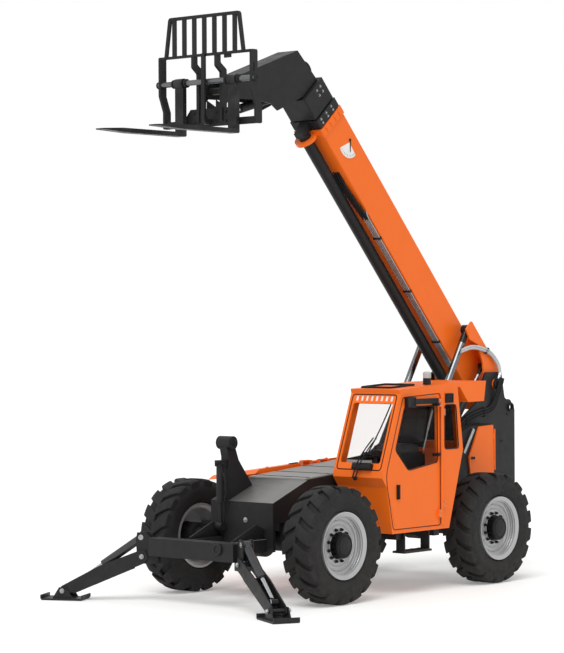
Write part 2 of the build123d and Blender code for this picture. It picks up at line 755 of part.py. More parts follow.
# Fork carriage with the load backrest
back = nose[0] + CARRIAGE_BACK
SHAFT = (nose[0] + 205, nose[1] + 94)
LOW = nose[1] - 400
HIGH = nose[1] + 405
FACE = back + 133
SLOT_H = 100
with BuildPart() as carriage:
    for y in (POST_Y, -POST_Y):
        outer = side(y + POST_W / 2)
        plate(
            outer,
            [
                (FACE - 10 - POST_DEPTH, HIGH),
                (FACE - 10, HIGH),
                (FACE - 10, SHAFT[1] - 125),
                (FACE - 10 - POST_JOG, SHAFT[1] - 305),
                (FACE - 10 - POST_JOG, LOW),
                (FACE - 10 - POST_JOG - POST_DEPTH, LOW),
                (FACE - 10 - POST_JOG - POST_DEPTH, SHAFT[1] - 305),
                (FACE - 10 - POST_DEPTH, SHAFT[1] - 125),
            ],
            POST_W,
            soft=20,
        )
        with BuildSketch(outer) as slot:
            with Locations((SHAFT[0], SHAFT[1] + 65 + SLOT_H / 2)):
                SlotOverall(SLOT_H, 26, rotation=90)
        extrude(slot.sketch, amount=POST_W, mode=Mode.SUBTRACT)
    for y in (195, -155):
        plate(
            side(y),
            [
                (FACE - 5, HIGH - 2),
                (FACE - 70, HIGH - 2),
                (FACE - 70, HIGH - 110),
                (back - 35, SHAFT[1] + 130),
                (back - 35, LOW + 40),
                (back + 45, LOW + 40),
                (back + 45, SHAFT[1] + 95),
                (FACE - 5, HIGH - 150),
            ],
            40,
            soft=24,
        )
    with BuildSketch(Plane(origin=(MID_X + back + 30, 0, LOW), x_dir=(0, 1, 0), z_dir=(1, 0, 0))) as sill:
        with BuildLine():
            Polyline(
                (-POST_Y + 8, 0),
                (-POST_Y + 8, 80),
                (-400, 80),
                (-300, 200),
                (300, 200),
                (400, 80),
                (POST_Y - 8, 80),
                (POST_Y - 8, 0),
                close=True,
            )
        make_face()
    extrude(sill.sketch, amount=-30)
    plate(
        side(25),
        [
            (FACE - 13, HIGH - 2),
            (FACE + 17, HIGH - 2),
            (FACE + 17, LOW + 60),
            (FACE - 13, LOW + 20),
            (back + 10, LOW + 20),
            (back + 10, LOW + 75),
            (FACE - 40, LOW + 80),
            (FACE - 13, LOW + 120),
        ],
        50,
    )
    with Locations((MID_X + FACE - 20, 0, HIGH - 17)):
        Box(30, 2 * POST_Y, 30)
    for y in (185, -165):
        plate(
            side(y),
            [
                (nose[0] - 70, nose[1] - 50),
                (nose[0] - 60, nose[1] + 55),
                (nose[0], nose[1] + 85),
                (back + 5, nose[1] + 190),
                (back + 5, nose[1] - 190),
                (nose[0], nose[1] - 85),
            ],
            20,
            soft=20,
        )
    disc(side(195), nose, 40 + RUN, 390, mode=Mode.SUBTRACT)
    for y in (77, -62):
        plate(
            side(y),
            [
                (back + 5, nose[1] - 110),
                (tilt_pin[0], tilt_pin[1] + 50),
                (tilt_pin[0] - 50, tilt_pin[1]),
                (tilt_pin[0], tilt_pin[1] - 50),
                (back + 5, nose[1] - 390),
            ],
            15,
        )
    for k in range(7):
        with Locations((MID_X + FACE - 15, (k - 3) * 152, HIGH + 200)):
            Box(24, 52, 460)
    with BuildSketch(Plane(origin=(MID_X + FACE, 0, HIGH - 20), x_dir=(0, 1, 0), z_dir=(1, 0, 0))) as hoop:
        with BuildLine():
            Polyline(
                (-605, 0),
                (-538, 450),
                (538, 450),
                (605, 0),
                (565, 0),
                (504, 414),
                (-504, 414),
                (-565, 0),
                close=True,
            )
        make_face()
        fillet(hoop.vertices().filter_by_position(Axis.Y, 440, 460), 40)
    extrude(hoop.sketch, amount=-30)
    with Locations(Location((MID_X + SHAFT[0], 0, SHAFT[1]), (90, 0, 0))):
        Cylinder(SHAFT_R + RUN, 2 * POST_Y + 2 * POST_W, mode=Mode.SUBTRACT)
keep(carriage, "carriage")

with BuildPart() as fork_shaft:
    with Locations(Location((MID_X + SHAFT[0], 0, SHAFT[1]), (90, 0, 0))):
        Cylinder(SHAFT_R, 2 * POST_Y + POST_W + 56)
keep(fork_shaft, "fork_shaft")

FORK_LOW = nose[1] - 500
with BuildPart() as forks:
    for y in (FORK_Y, -FORK_Y):
        flank = side(y + FORK_W / 2)
        disc(flank, SHAFT, 56, FORK_W)
        plate(
            flank,
            [
                (SHAFT[0] - 32, SHAFT[1] + 20),
                (SHAFT[0] + 24, SHAFT[1] + 20),
                (SHAFT[0] + 24, FORK_LOW + FORK_T),
                (FORK_TIP_X - 300, FORK_LOW + FORK_T),
                (FORK_TIP_X, FORK_LOW + 32),
                (FORK_TIP_X, FORK_LOW + 18),
                (FORK_TIP_X - 420, FORK_LOW),
                (SHAFT[0] - 20, FORK_LOW),
                (SHAFT[0] - 32, FORK_LOW + 14),
            ],
            FORK_W,
        )
        disc(flank, SHAFT, SHAFT_R + RUN, FORK_W, mode=Mode.SUBTRACT)
keep(forks, "forks")

# Cab shell
CAB_OUTLINE = [
    (400, 2300),
    (720, 1435),
    (735, 1360),
    (650, 1250),
    (CAB_FOOT_X, 720.4),
    (-500, 720.4),
    (-776, 1624),
    (-676, 2350),
]
CAB_INSIDE = [
    (372, 2330),
    (676, 1445),
    (690, 1380),
    (612, 1265),
    (CAB_FOOT_X - 30, 760),
    (-470, 760),
    (-732, 1622),
    (-640, 2380),
]
DOOR_OUTLINE = [
    (350, 2255),
    (640, 1440),
    (650, 1360),
    (636, 1250),
    (CAB_FOOT_X - 60, 770),
    (-335, 770),
    (-335, 2285),
]
DOOR_WINDOW = [(322, 2150), (490, 1665), (255, 1425), (-285, 1497), (-285, 2150)]
QUARTER_WINDOW = [(-425, 2150), (-425, 1640), (-690, 1640), (-640, 2150)]
RIGHT_WINDOW = [(300, 2180), (560, 1460), (250, 1380), (-640, 1500), (-600, 2180)]
WINDOW_R = 28
SCREEN_TOP = (400, 2300)
SCREEN_FOOT = (720, 1435)


def slant(low, high, outward):
    """Plane on a leaning front or rear wall, centred on the wall."""
    length = span(low, high)
    up = ((high[0] - low[0]) / length, (high[1] - low[1]) / length)
    return Plane(
        origin=(MID_X + (low[0] + high[0]) / 2, (CAB_IN + CAB_OUT) / 2, (low[1] + high[1]) / 2),
        x_dir=(0, outward, 0),
        z_dir=(outward * up[1], 0, -outward * up[0]),
    )


screen = slant(SCREEN_FOOT, SCREEN_TOP, 1)
rear_pane = slant((-776, 1624), (-676, 2350), -1)
SCREEN_SIZE = (580, 714)
REAR_SIZE = (540, 540)
SCREEN_DROP = 13
SLOT_RISE = 404
with BuildPart() as cab_body:
    plate(side(CAB_OUT), CAB_OUTLINE, CAB_OUT - CAB_IN)
    plate(side(CAB_OUT - CAB_WALL), CAB_INSIDE, CAB_OUT - CAB_IN - 2 * CAB_WALL, mode=Mode.SUBTRACT)
    plate(side(CAB_OUT + 1), DOOR_OUTLINE, CAB_WALL + 2, mode=Mode.SUBTRACT, grow=DOOR_GAP)
    plate(side(CAB_OUT + 1), QUARTER_WINDOW, CAB_WALL + 2, mode=Mode.SUBTRACT, soft=WINDOW_R)
    plate(side(CAB_IN + CAB_WALL + 1), RIGHT_WINDOW, CAB_WALL + 2, mode=Mode.SUBTRACT, soft=WINDOW_R)
    for pane, size, drop in ((screen, SCREEN_SIZE, SCREEN_DROP), (rear_pane, REAR_SIZE, 0)):
        with BuildSketch(pane.offset(-70)):
            with Locations((0, -drop)):
                RectangleRounded(*size, WINDOW_R)
        extrude(amount=80, mode=Mode.SUBTRACT)
    with BuildSketch(screen.offset(-70)):
        with Locations((0, SLOT_RISE)):
            with GridLocations(72, 0, 8, 1):
                RectangleRounded(38, 66, 8)
    extrude(amount=80, mode=Mode.SUBTRACT)
    for z in (1010, 2070):
        with Locations((MID_X + HINGE_X - 25, CAB_OUT + 17, z)):
            Box(50, 36, 80)
    with Locations((MID_X + HINGE_X, HINGE_Y, 1530)):
        Cylinder(14 + RUN, 1480, mode=Mode.SUBTRACT)
keep(cab_body, "cab_body")

with BuildPart() as cab_roof:
    plate(
        side(CAB_OUT),
        [
            (400, 2300.5),
            (412, 2350),
            (-690, 2405),
            (-1232, 2412),
            (-1190, 2175),
            (-880, 2170),
            (-720, 2352.5),
        ],
        CAB_OUT - CAB_IN,
    )
keep(cab_roof, "cab_roof")

with BuildPart() as cab_glass:
    for pane, size, drop in ((screen, SCREEN_SIZE, SCREEN_DROP), (rear_pane, REAR_SIZE, 0)):
        with BuildSketch(pane.offset(-22)):
            with Locations((0, -drop)):
                RectangleRounded(size[0] - 1, size[1] - 1, WINDOW_R)
        extrude(amount=8)
    plate(side(CAB_OUT - 16), QUARTER_WINDOW, 8, grow=-0.5, soft=WINDOW_R)
    plate(side(CAB_IN + 24), RIGHT_WINDOW, 8, grow=-0.5, soft=WINDOW_R)
keep(cab_glass, "cab_glass")

with BuildPart() as cab_door:
    plate(side(CAB_OUT), DOOR_OUTLINE, CAB_WALL)
    plate(side(CAB_OUT + 1), DOOR_WINDOW, CAB_WALL + 2, mode=Mode.SUBTRACT, soft=WINDOW_R)
    with Locations((MID_X + HINGE_X, HINGE_Y, 1530)):
        Cylinder(14, 1480)
    for z in (900, 2180):
        with Locations((MID_X + HINGE_X + 38, HINGE_Y - 8, z)):
            Box(62, 26, 90)
keep(cab_door, "cab_door")

with BuildPart() as door_glass:
    plate(side(CAB_OUT - 16), DOOR_WINDOW, 8, grow=-0.5, soft=WINDOW_R)
keep(door_glass, "door_glass")

# Seat and controls
with BuildPart() as seat:
    plate(
        side(1080),
        [(230, 1590), (240, 1700), (-150, 1690), (-260, 2160), (-360, 2160), (-300, 1590)],
        440,
    )
    fillet(seat.edges().filter_by(Axis.Y), 30)
keep(seat, "seat")

with BuildPart() as cab_controls:
    with Locations(Location((MID_X + 385, 860, 1580), (0, -15, 0))):
        Cylinder(170, 26)
        Cylinder(140, 40, mode=Mode.SUBTRACT)
        Box(40, 300, 18)
        Cylinder(40, 30)
    plate(side(1040), [(150, 760.4), (180, 1589.6), (-280, 1589.6), (-300, 760.4)], 360)
    plate(side(900), [(440, 760.4), (500, 760.4), (415, 1575), (365, 1575)], 80)
keep(cab_controls, "cab_controls")

with BuildPart() as beacon:
    with Locations((MID_X - 300, 1060, 2388.4 + 75)):
        Cylinder(48, 150)
    fillet(beacon.faces().sort_by(Axis.Z)[-1].edges(), 26)
keep(beacon, "beacon")

with BuildPart() as step:
    for x in (290, -160):
        with Locations((MID_X + x, 1130, 610)):
            Box(20, 120, 219)
    with Locations((MID_X + 65, 1120, 492)):
        Box(500, 180, 24)
keep(step, "step")

# Engine bay, engine and hood on the right
BAY_W = BAY_OUT - PLATE_OUT - SEAT_GAP
with BuildPart() as engine_bay:
    with Locations((MID_X, -BAY_OUT + BAY_W / 2, 910)):
        Box(2 * BAY_HALF, BAY_W, 540)
    with Locations((MID_X, -BAY_OUT + BAY_W / 2, 930)):
        Box(2 * BAY_HALF - 40, BAY_W - 40, 540, mode=Mode.SUBTRACT)
keep(engine_bay, "engine_bay")

with BuildPart() as engine:
    with Locations((MID_X, -815, 660.4 + 220)):
        Box(2 * BAY_HALF - 220, 560, 440)
keep(engine, "engine")


def hood_shell(near, far, outline, mode=Mode.ADD):
    """Loft a hood outline between two distances from the centreline, falling outwards."""
    ends = []
    for y in (near, far):
        fall = HOOD_FALL * (y - HOOD_IN) / (BAY_OUT - HOOD_IN)
        with BuildSketch(side(-y)) as end:
            with BuildLine():
                Polyline(*[(x, z - fall * drop) for x, z, drop in outline], close=True)
            make_face()
        ends.append(end.sketch.face())
    loft(ends, ruled=True, mode=mode)


with BuildPart() as engine_hood:
    hood_shell(
        HOOD_IN,
        BAY_OUT,
        [
            (AXLE_X - 440, 1362, 1),
            (AXLE_X - 510, 1412, 1),
            (-BAY_HALF, 1490, 1),
            (-BAY_HALF, 1180.4, 0),
            (BAY_HALF, 1180.4, 0),
            (BAY_HALF + 40, 1362, 1),
        ],
    )
    outer_edges = engine_hood.edges().filter_by_position(Axis.Y, -BAY_OUT - 1, -BAY_OUT + 1)
    fillet(outer_edges.filter_by(lambda e: e.length > 900), 45)
    hood_shell(
        HOOD_IN + 20,
        BAY_OUT - 40,
        [
            (BAY_HALF, 1382, 1),
            (BAY_HALF - 20, 1400, 1),
            (-BAY_HALF + 20, 1460, 1),
            (-BAY_HALF + 20, 1170, 0),
            (BAY_HALF - 20, 1170, 0),
        ],
        mode=Mode.SUBTRACT,
    )
    for x in HOOD_HINGES:
        with Locations((MID_X + x, -HOOD_IN - 2, HOOD_HINGE[1] - 25)):
            Box(130, 24, 60)
        with Locations(Location((MID_X + x, HOOD_HINGE[0], HOOD_HINGE[1]), (0, 90, 0))):
            Cylinder(13, 140)
        with Locations((MID_X + x, (HOOD_HINGE[0] - HOOD_IN) / 2, HOOD_HINGE[1])):
            Box(140, HOOD_IN + HOOD_HINGE[0], 10)
        with Locations(Location((MID_X + x, HOOD_HINGE[0], HOOD_HINGE[1]), (0, 90, 0))):
            Cylinder(6 + RUN, 160, mode=Mode.SUBTRACT)
keep(engine_hood, "engine_hood")

# Tank and its side panel on the left
TANK_OUT = 620
with BuildPart() as tank:
    plate(
        side(TANK_OUT),
        [(-1000, 1200), (-1000, 1560), (-1700, 1835), (-2180, 1855), (-2205, 1235), (-1700, 1200)],
        TANK_OUT - PLATE_OUT - SEAT_GAP,
    )
keep(tank, "tank")

PANEL_HINGE_X = -2185
with BuildPart() as side_panel:
    plate(
        side(TANK_OUT + 20),
        [(-1872, 1829), (-1663, 1461), (-1700, 1240), (-2170, 1240), (-2160, 1842)],
        20 - RUN,
        soft=14,
    )
    with Locations((MID_X + PANEL_HINGE_X, TANK_OUT + 18, 1540)):
        Cylinder(12, 500)
    for z in (1380, 1700):
        with Locations((MID_X + PANEL_HINGE_X + 15, TANK_OUT + 18, z)):
            Box(30, 12, 60)
keep(side_panel, "side_panel")
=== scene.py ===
"""Looks of an orange telehandler: finishes, small parts, floor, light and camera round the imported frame."""

import logging
import math
from dataclasses import dataclass
from enum import Enum
from typing import Iterable, Sequence

import bpy
from mathutils import Matrix, Vector


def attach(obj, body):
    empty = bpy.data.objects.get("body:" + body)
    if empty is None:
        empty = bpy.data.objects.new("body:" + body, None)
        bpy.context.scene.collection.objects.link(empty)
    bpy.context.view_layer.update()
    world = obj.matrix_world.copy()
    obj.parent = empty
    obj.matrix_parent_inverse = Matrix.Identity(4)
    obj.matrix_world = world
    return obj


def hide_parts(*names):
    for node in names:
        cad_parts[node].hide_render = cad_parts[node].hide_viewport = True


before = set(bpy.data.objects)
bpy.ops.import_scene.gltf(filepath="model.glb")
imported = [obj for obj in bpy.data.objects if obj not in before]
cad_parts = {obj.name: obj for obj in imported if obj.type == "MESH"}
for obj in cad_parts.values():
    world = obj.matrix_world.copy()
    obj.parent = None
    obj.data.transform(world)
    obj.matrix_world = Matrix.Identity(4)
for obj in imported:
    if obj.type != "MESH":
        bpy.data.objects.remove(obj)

log = logging.getLogger("telehandler")
logging.basicConfig(level=logging.INFO, format="%(message)s")

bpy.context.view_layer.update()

Point = tuple[float, float, float]

# The row frame's X lies this far from the middle of the wheelbase
MID_X = -0.3275
BOOM_PIVOT = (-2.480, 2.330)
BOOM_ANGLE = math.radians(47.7)
# Patterns are given in millimetres, and Blender's scales are per metre
MM_PER_M = 1000.0
# Gloss smears are this share of a patch of wear
SMEAR_SHARE = 0.3
# Edges sharper than this are drawn as edges
SMOOTH_ANGLE = math.radians(38)
BEVEL_ANGLE = math.radians(35)


def machine(x: float, y: float, z: float) -> Vector:
    """Turns a point measured from mid-wheelbase into the row frame.

    Args:
        x: Metres forward of mid-wheelbase.
        y: Metres to the cab side.
        z: Metres above the ground.

    Returns:
        The same point in the row frame.
    """
    return Vector((x + MID_X, y, z))


def on_boom(s: float, n: float, y: float = 0.0) -> Vector:
    """Finds a point in the raised boom's own plane.

    Args:
        s: Metres along the boom from its pivot.
        n: Metres above the boom's centre line.
        y: Metres to the cab side.

    Returns:
        The point in the row frame.
    """
    c, d = math.cos(BOOM_ANGLE), math.sin(BOOM_ANGLE)
    return machine(BOOM_PIVOT[0] + s * c - n * d, y, BOOM_PIVOT[1] + s * d + n * c)


def linear(hexcode: str) -> tuple[float, float, float, float]:
    """Turns an sRGB hex colour into a linear one.

    Args:
        hexcode: Six hex digits after a hash.

    Returns:
        Red, green, blue and alpha in linear light.
    """
    channels = [int(hexcode[i:i + 2], 16) / 255 for i in (1, 3, 5)]
    return (*[c / 12.92 if c <= 0.04045 else ((c + 0.055) / 1.055) ** 2.4 for c in channels], 1.0)


class Graph:
    """A node tree with one way to add a node."""

    def __init__(self, tree: bpy.types.NodeTree) -> None:
        self.tree = tree

    @property
    def coords(self) -> bpy.types.NodeSocket:
        """The piece's own coordinates, in metres."""
        return self.add("TexCoord").outputs["Object"]

    def fill(self, node: bpy.types.Node, inputs: dict) -> None:
        """Sets or links a node's inputs.

        Args:
            node: The node to fill.
            inputs: A constant or an output socket for each input's name or number.
        """
        for key, value in inputs.items():
            if isinstance(value, bpy.types.NodeSocket):
                self.tree.links.new(value, node.inputs[key])
            else:
                node.inputs[key].default_value = value

    def add(self, kind: str, inputs: dict | None = None, **settings: str) -> bpy.types.Node:
        """Adds one node with its settings and links.

        Args:
            kind: Blender's name of the node, without its first two words.
            inputs: A constant or an output socket for each input's name or number.
            settings: The node's own choices, such as its operation.

        Returns:
            The new node.
        """
        node = self.tree.nodes.new("ShaderNode" + kind)
        for key, value in settings.items():
            setattr(node, key, value)
        self.fill(node, inputs or {})
        return node


@dataclass(frozen=True)
class Finish:
    """A real material: base colour, a second tone that it wears towards, and its surface.

    Patch and grain are sizes in millimetres, and relief is a depth in millimetres. A grain under about 13 mm
    is finer than one pixel at the photograph's distance, so it shows there as gloss and nearer as texture.
    """

    name: str
    colour: str
    worn: str
    roughness: float = 0.5
    spread: float = 0.1
    metallic: float = 0.0
    patch: float = 350.0
    wear: float = 0.35
    grain: float = 4.0
    relief: float = 0.05
    coat: float = 0.0
    specular: float = 0.22

    def material(self) -> bpy.types.Material:
        """Makes the material once and hands out the same one after that.

        Returns:
            The Blender material.
        """
        made = bpy.data.materials.get(self.name)
        if made is None:
            made = bpy.data.materials.new(self.name)
            made.use_nodes = True
            self.shade(Graph(made.node_tree), made.node_tree.nodes["Principled BSDF"])
        return made

    def tone(self, graph: Graph) -> bpy.types.NodeSocket:
        """Mixes the worn tone into the base colour in soft patches.

        Args:
            graph: The node tree.

        Returns:
            The colour socket.
        """
        blotch = graph.add("TexNoise", {"Vector": graph.coords, "Scale": MM_PER_M / self.patch,
                                        "Detail": 4.0})
        share = graph.add("MapRange", {"Value": blotch.outputs[0], "From Min": 0.42, "From Max": 0.72,
                                       "To Max": self.wear})
        return graph.add("Mix", {0: share.outputs[0], 6: linear(self.colour), 7: linear(self.worn)},
                         data_type="RGBA").outputs[2]

    def shade(self, graph: Graph, shader: bpy.types.Node) -> None:
        """Fills the node tree.

        Args:
            graph: The node tree.
            shader: The surface shader.
        """
        smear = graph.add("TexNoise", {"Vector": graph.coords, "Scale": MM_PER_M / (self.patch * SMEAR_SHARE),
                                       "Detail": 4.0})
        gloss = graph.add("MapRange", {"Value": smear.outputs[0], "From Min": 0.3, "From Max": 0.7,
                                       "To Min": self.roughness - self.spread,
                                       "To Max": self.roughness + self.spread})
        grit = graph.add("TexNoise", {"Vector": graph.coords, "Scale": MM_PER_M / self.grain,
                                      "Detail": 2.0})
        skin = graph.add("Bump", {"Height": grit.outputs[0], "Distance": self.relief / MM_PER_M,
                                  "Strength": 1.0})
        graph.fill(shader, {"Base Color": self.tone(graph), "Roughness": gloss.outputs[0],
                            "Metallic": self.metallic, "Specular IOR Level": self.specular,
                            "Coat Weight": self.coat, "Coat Roughness": 0.12, "Normal": skin.outputs[0]})


@dataclass(frozen=True)
class DustyFinish(Finish):
    """A finish with pale dust that thickens towards the ground."""

    dust: str = "#8A8378"
    dust_top: float = 1.1
    dust_share: float = 0.25
    dust_patch: float = 90.0

    def tone(self, graph: Graph) -> bpy.types.NodeSocket:
        """Adds low dust over the worn paint.

        Args:
            graph: The node tree.

        Returns:
            The colour socket.
        """
        place = graph.add("SeparateXYZ", {0: graph.coords})
        low = graph.add("MapRange", {"Value": place.outputs["Z"], "From Max": self.dust_top,
                                     "To Min": self.dust_share, "To Max": 0.0})
        cloud = graph.add("TexNoise", {"Vector": graph.coords, "Scale": MM_PER_M / self.dust_patch,
                                       "Detail": 6.0})
        broken = graph.add("MapRange", {"Value": cloud.outputs[0], "From Min": 0.35, "From Max": 0.7,
                                        "To Min": 0.1})
        share = graph.add("Math", {0: low.outputs[0], 1: broken.outputs[0]}, operation="MULTIPLY")
        return graph.add("Mix", {0: share.outputs[0], 6: Finish.tone(self, graph), 7: linear(self.dust)},
                         data_type="RGBA").outputs[2]


@dataclass(frozen=True)
class RimFinish(DustyFinish):
    """Satin grey rim paint with a black hub in the middle of each wheel."""

    hub: str = "#151515"
    hub_radius: float = 0.152
    wheel_x: float = 1.44
    wheel_z: float = 0.655

    def tone(self, graph: Graph) -> bpy.types.NodeSocket:
        """Turns the paint black inside the hub's radius.

        Args:
            graph: The node tree.

        Returns:
            The colour socket.
        """
        place = graph.add("SeparateXYZ", {0: graph.coords})
        ahead = graph.add("Math", {0: place.outputs["X"], 1: MID_X}, operation="SUBTRACT")
        either = graph.add("Math", {0: ahead.outputs[0]}, operation="ABSOLUTE")
        along = graph.add("Math", {0: either.outputs[0], 1: self.wheel_x}, operation="SUBTRACT")
        up = graph.add("Math", {0: place.outputs["Z"], 1: self.wheel_z}, operation="SUBTRACT")
        offset = graph.add("CombineXYZ", {"X": along.outputs[0], "Z": up.outputs[0]})
        away = graph.add("VectorMath", {0: offset.outputs[0]}, operation="LENGTH")
        inside = graph.add("MapRange", {"Value": away.outputs["Value"], "From Min": self.hub_radius * 0.99,
                                        "From Max": self.hub_radius * 1.01, "To Min": 1.0, "To Max": 0.0})
        return graph.add("Mix", {0: inside.outputs[0], 6: DustyFinish.tone(self, graph), 7: linear(self.hub)},
                         data_type="RGBA").outputs[2]


@dataclass(frozen=True)
class TreadFinish(DustyFinish):
    """Grey anti-slip deck with rows of raised grip, and the hood's hinge lugs beside it."""

    pitch: float = 26.0
    grip: float = 1.6
    hinge: str = "#F26C1B"
    hinge_y: float = -0.395

    def tone(self, graph: Graph) -> bpy.types.NodeSocket:
        """Paints the hood's hinge lugs, beside the deck, in the body's orange.

        Args:
            graph: The node tree.

        Returns:
            The colour socket.
        """
        place = graph.add("SeparateXYZ", {0: graph.coords})
        beside = graph.add("MapRange", {"Value": place.outputs["Y"], "From Min": self.hinge_y - 0.002,
                                        "From Max": self.hinge_y, "To Min": 1.0, "To Max": 0.0})
        return graph.add("Mix", {0: beside.outputs[0], 6: DustyFinish.tone(self, graph),
                                 7: linear(self.hinge)},
                         data_type="RGBA").outputs[2]

    def shade(self, graph: Graph, shader: bpy.types.Node) -> None:
        """Adds the raised grip to the deck.

        Args:
            graph: The node tree.
            shader: The surface shader.
        """
        DustyFinish.shade(self, graph, shader)
        cells = graph.add("TexVoronoi", {"Vector": graph.coords, "Scale": MM_PER_M / self.pitch,
                                         "Randomness": 0.25})
        knob = graph.add("MapRange", {"Value": cells.outputs["Distance"], "From Min": 0.15, "From Max": 0.5,
                                      "To Min": 1.0, "To Max": 0.0})
        rows = graph.add("Bump", {"Height": knob.outputs[0], "Distance": self.grip / MM_PER_M,
                                  "Strength": 1.0})
        graph.fill(shader, {"Normal": rows.outputs[0]})


@dataclass(frozen=True)
class TopLitBoxFinish(DustyFinish):
    """Charcoal paint that turns grey on faces that look up: a painted highlight of the light from above,
    faded back to charcoal towards the boom rest as painted shade.
    """

    # Painted highlight: the grey sheen of the light from above on the charcoal tops
    top: str = "#7C7B79"
    # Painted shade: the highlight fades out between these two places across the box, darkest towards the boom
    # rest
    shade_to: float = -0.35
    top_from: float = 0.25

    def tone(self, graph: Graph) -> bpy.types.NodeSocket:
        """Paints a highlight of the light from above on the upward faces of the box, with painted shade
        towards the boom rest.

        Args:
            graph: The node tree.

        Returns:
            The colour socket.
        """
        facing = graph.add("SeparateXYZ", {0: graph.add("NewGeometry").outputs["Normal"]})
        # Faces that look up get the painted highlight
        top_lit_share = graph.add("MapRange", {"Value": facing.outputs["Z"], "From Min": 0.5, "From Max": 0.6})
        place = graph.add("SeparateXYZ", {0: graph.coords})
        # Painted shade: the highlight fades out towards the boom rest
        clear = graph.add("MapRange", {"Value": place.outputs["Y"], "From Min": self.shade_to,
                                       "From Max": self.top_from})
        share = graph.add("Math", {0: top_lit_share.outputs[0], 1: clear.outputs[0]}, operation="MULTIPLY")
        return graph.add("Mix", {0: share.outputs[0], 6: DustyFinish.tone(self, graph), 7: linear(self.top)},
                         data_type="RGBA").outputs[2]


@dataclass(frozen=True)
class GlassFinish(Finish):
    """Window glass, clear in front and smoked behind the operator."""

    smoked: str = "#A5A6A6"
    smoked_from: float = -0.40
    ior: float = 1.06

    def tone(self, graph: Graph) -> bpy.types.NodeSocket:
        """Darkens the panes behind the operator.

        Args:
            graph: The node tree.

        Returns:
            The colour socket.
        """
        edge = MID_X + self.smoked_from
        place = graph.add("SeparateXYZ", {0: graph.coords})
        behind = graph.add("MapRange", {"Value": place.outputs["X"], "From Min": edge - 0.01,
                                        "From Max": edge + 0.01, "To Min": 1.0, "To Max": 0.0})
        return graph.add("Mix", {0: behind.outputs[0], 6: Finish.tone(self, graph), 7: linear(self.smoked)},
                         data_type="RGBA").outputs[2]

    def shade(self, graph: Graph, shader: bpy.types.Node) -> None:
        """Makes the shader let light through.

        Args:
            graph: The node tree.
            shader: The surface shader.
        """
        Finish.shade(self, graph, shader)
        graph.fill(shader, {"Transmission Weight": 1.0, "IOR": self.ior})


@dataclass(frozen=True)
class RodFinish(Finish):
    """Chromed rod whose eye is painted black."""

    eye: tuple[float, float] = (0.0, 0.0)
    reach: float = 0.2
    paint: str = "#1B1B1C"

    def shade(self, graph: Graph, shader: bpy.types.Node) -> None:
        """Paints what lies within reach of the eye.

        Args:
            graph: The node tree.
            shader: The surface shader.
        """
        Finish.shade(self, graph, shader)
        place = graph.add("SeparateXYZ", {0: graph.coords})
        along = graph.add("Math", {0: place.outputs["X"], 1: MID_X + self.eye[0]}, operation="SUBTRACT")
        up = graph.add("Math", {0: place.outputs["Z"], 1: self.eye[1]}, operation="SUBTRACT")
        offset = graph.add("CombineXYZ", {"X": along.outputs[0], "Z": up.outputs[0]})
        away = graph.add("VectorMath", {0: offset.outputs[0]}, operation="LENGTH")
        bare = graph.add("MapRange", {"Value": away.outputs["Value"], "From Min": self.reach * 0.99,
                                      "From Max": self.reach}).outputs[0]
        tone = graph.add("Mix", {0: bare, 6: linear(self.paint), 7: self.tone(graph)}, data_type="RGBA")
        graph.fill(shader, {"Base Color": tone.outputs[2], "Metallic": bare})


@dataclass(frozen=True)
class BeaconFinish(Finish):
    """Black lamp socket with a pale clear lens above it."""

    lens: str = "#B9BBBA"
    lens_from: float = 2.462

    def tone(self, graph: Graph) -> bpy.types.NodeSocket:
        """Turns pale above the socket's edge.

        Args:
            graph: The node tree.

        Returns:
            The colour socket.
        """
        place = graph.add("SeparateXYZ", {0: graph.coords})
        above = graph.add("MapRange", {"Value": place.outputs["Z"], "From Min": self.lens_from,
                                       "From Max": self.lens_from + 0.002})
        return graph.add("Mix", {0: above.outputs[0], 6: Finish.tone(self, graph), 7: linear(self.lens)},
                         data_type="RGBA").outputs[2]


def background_rays(graph: Graph) -> bpy.types.NodeSocket:
    """Finds the rays that show the background: to the camera, in gloss and through glass.

    Args:
        graph: The node tree.

    Returns:
        A socket that is 1 on those rays.
    """
    path = graph.add("LightPath")
    shown = graph.add("Math", {0: path.outputs["Is Camera Ray"], 1: path.outputs["Is Glossy Ray"]},
                      operation="MAXIMUM")
    return graph.add("Math", {0: shown.outputs[0], 1: path.outputs["Is Transmission Ray"]},
                     operation="MAXIMUM").outputs[0]


@dataclass(frozen=True)
class FloorFinish(Finish):
    """Plain studio floor that the camera sees as white where no shadow lies."""

    lift: float = 0.22

    def shade(self, graph: Graph, shader: bpy.types.Node) -> None:
        """Lifts the floor for the camera, for gloss and through glass.

        Args:
            graph: The node tree.
            shader: The surface shader.
        """
        Finish.shade(self, graph, shader)
        glow = graph.add("Math", {0: background_rays(graph), 1: self.lift}, operation="MULTIPLY")
        graph.fill(shader, {"Emission Color": (1.0, 1.0, 1.0, 1.0), "Emission Strength": glow.outputs[0]})


# Sprayed and baked enamel on steel: an even orange with a soft sheen and a fine peel, dull near the ground
ORANGE = DustyFinish("orange_enamel", "#FB731C", "#F26C1B", 0.38, 0.06, coat=0.06, grain=2.5, relief=0.02,
                     dust="#C98A57", dust_top=1.0, dust_share=0.15)
# The same enamel in charcoal, on plate and castings: flatter, so dust and scuffs show as a paler grey
CHARCOAL = DustyFinish("charcoal_enamel", "#202021", "#29292A", 0.48, 0.08, grain=3.0, relief=0.03,
                       dust="#4C4A46", dust_top=0.9, dust_share=0.2)
# Pressed grip plate under grey paint, its grey made paler by a painted highlight of the light from above:
# dry, with knobs every 26 mm
DECK = TreadFinish("grip_plate_grey_enamel_top_lit", "#929290", "#9C9C9A", 0.62, 0.08, dust_share=0.1)
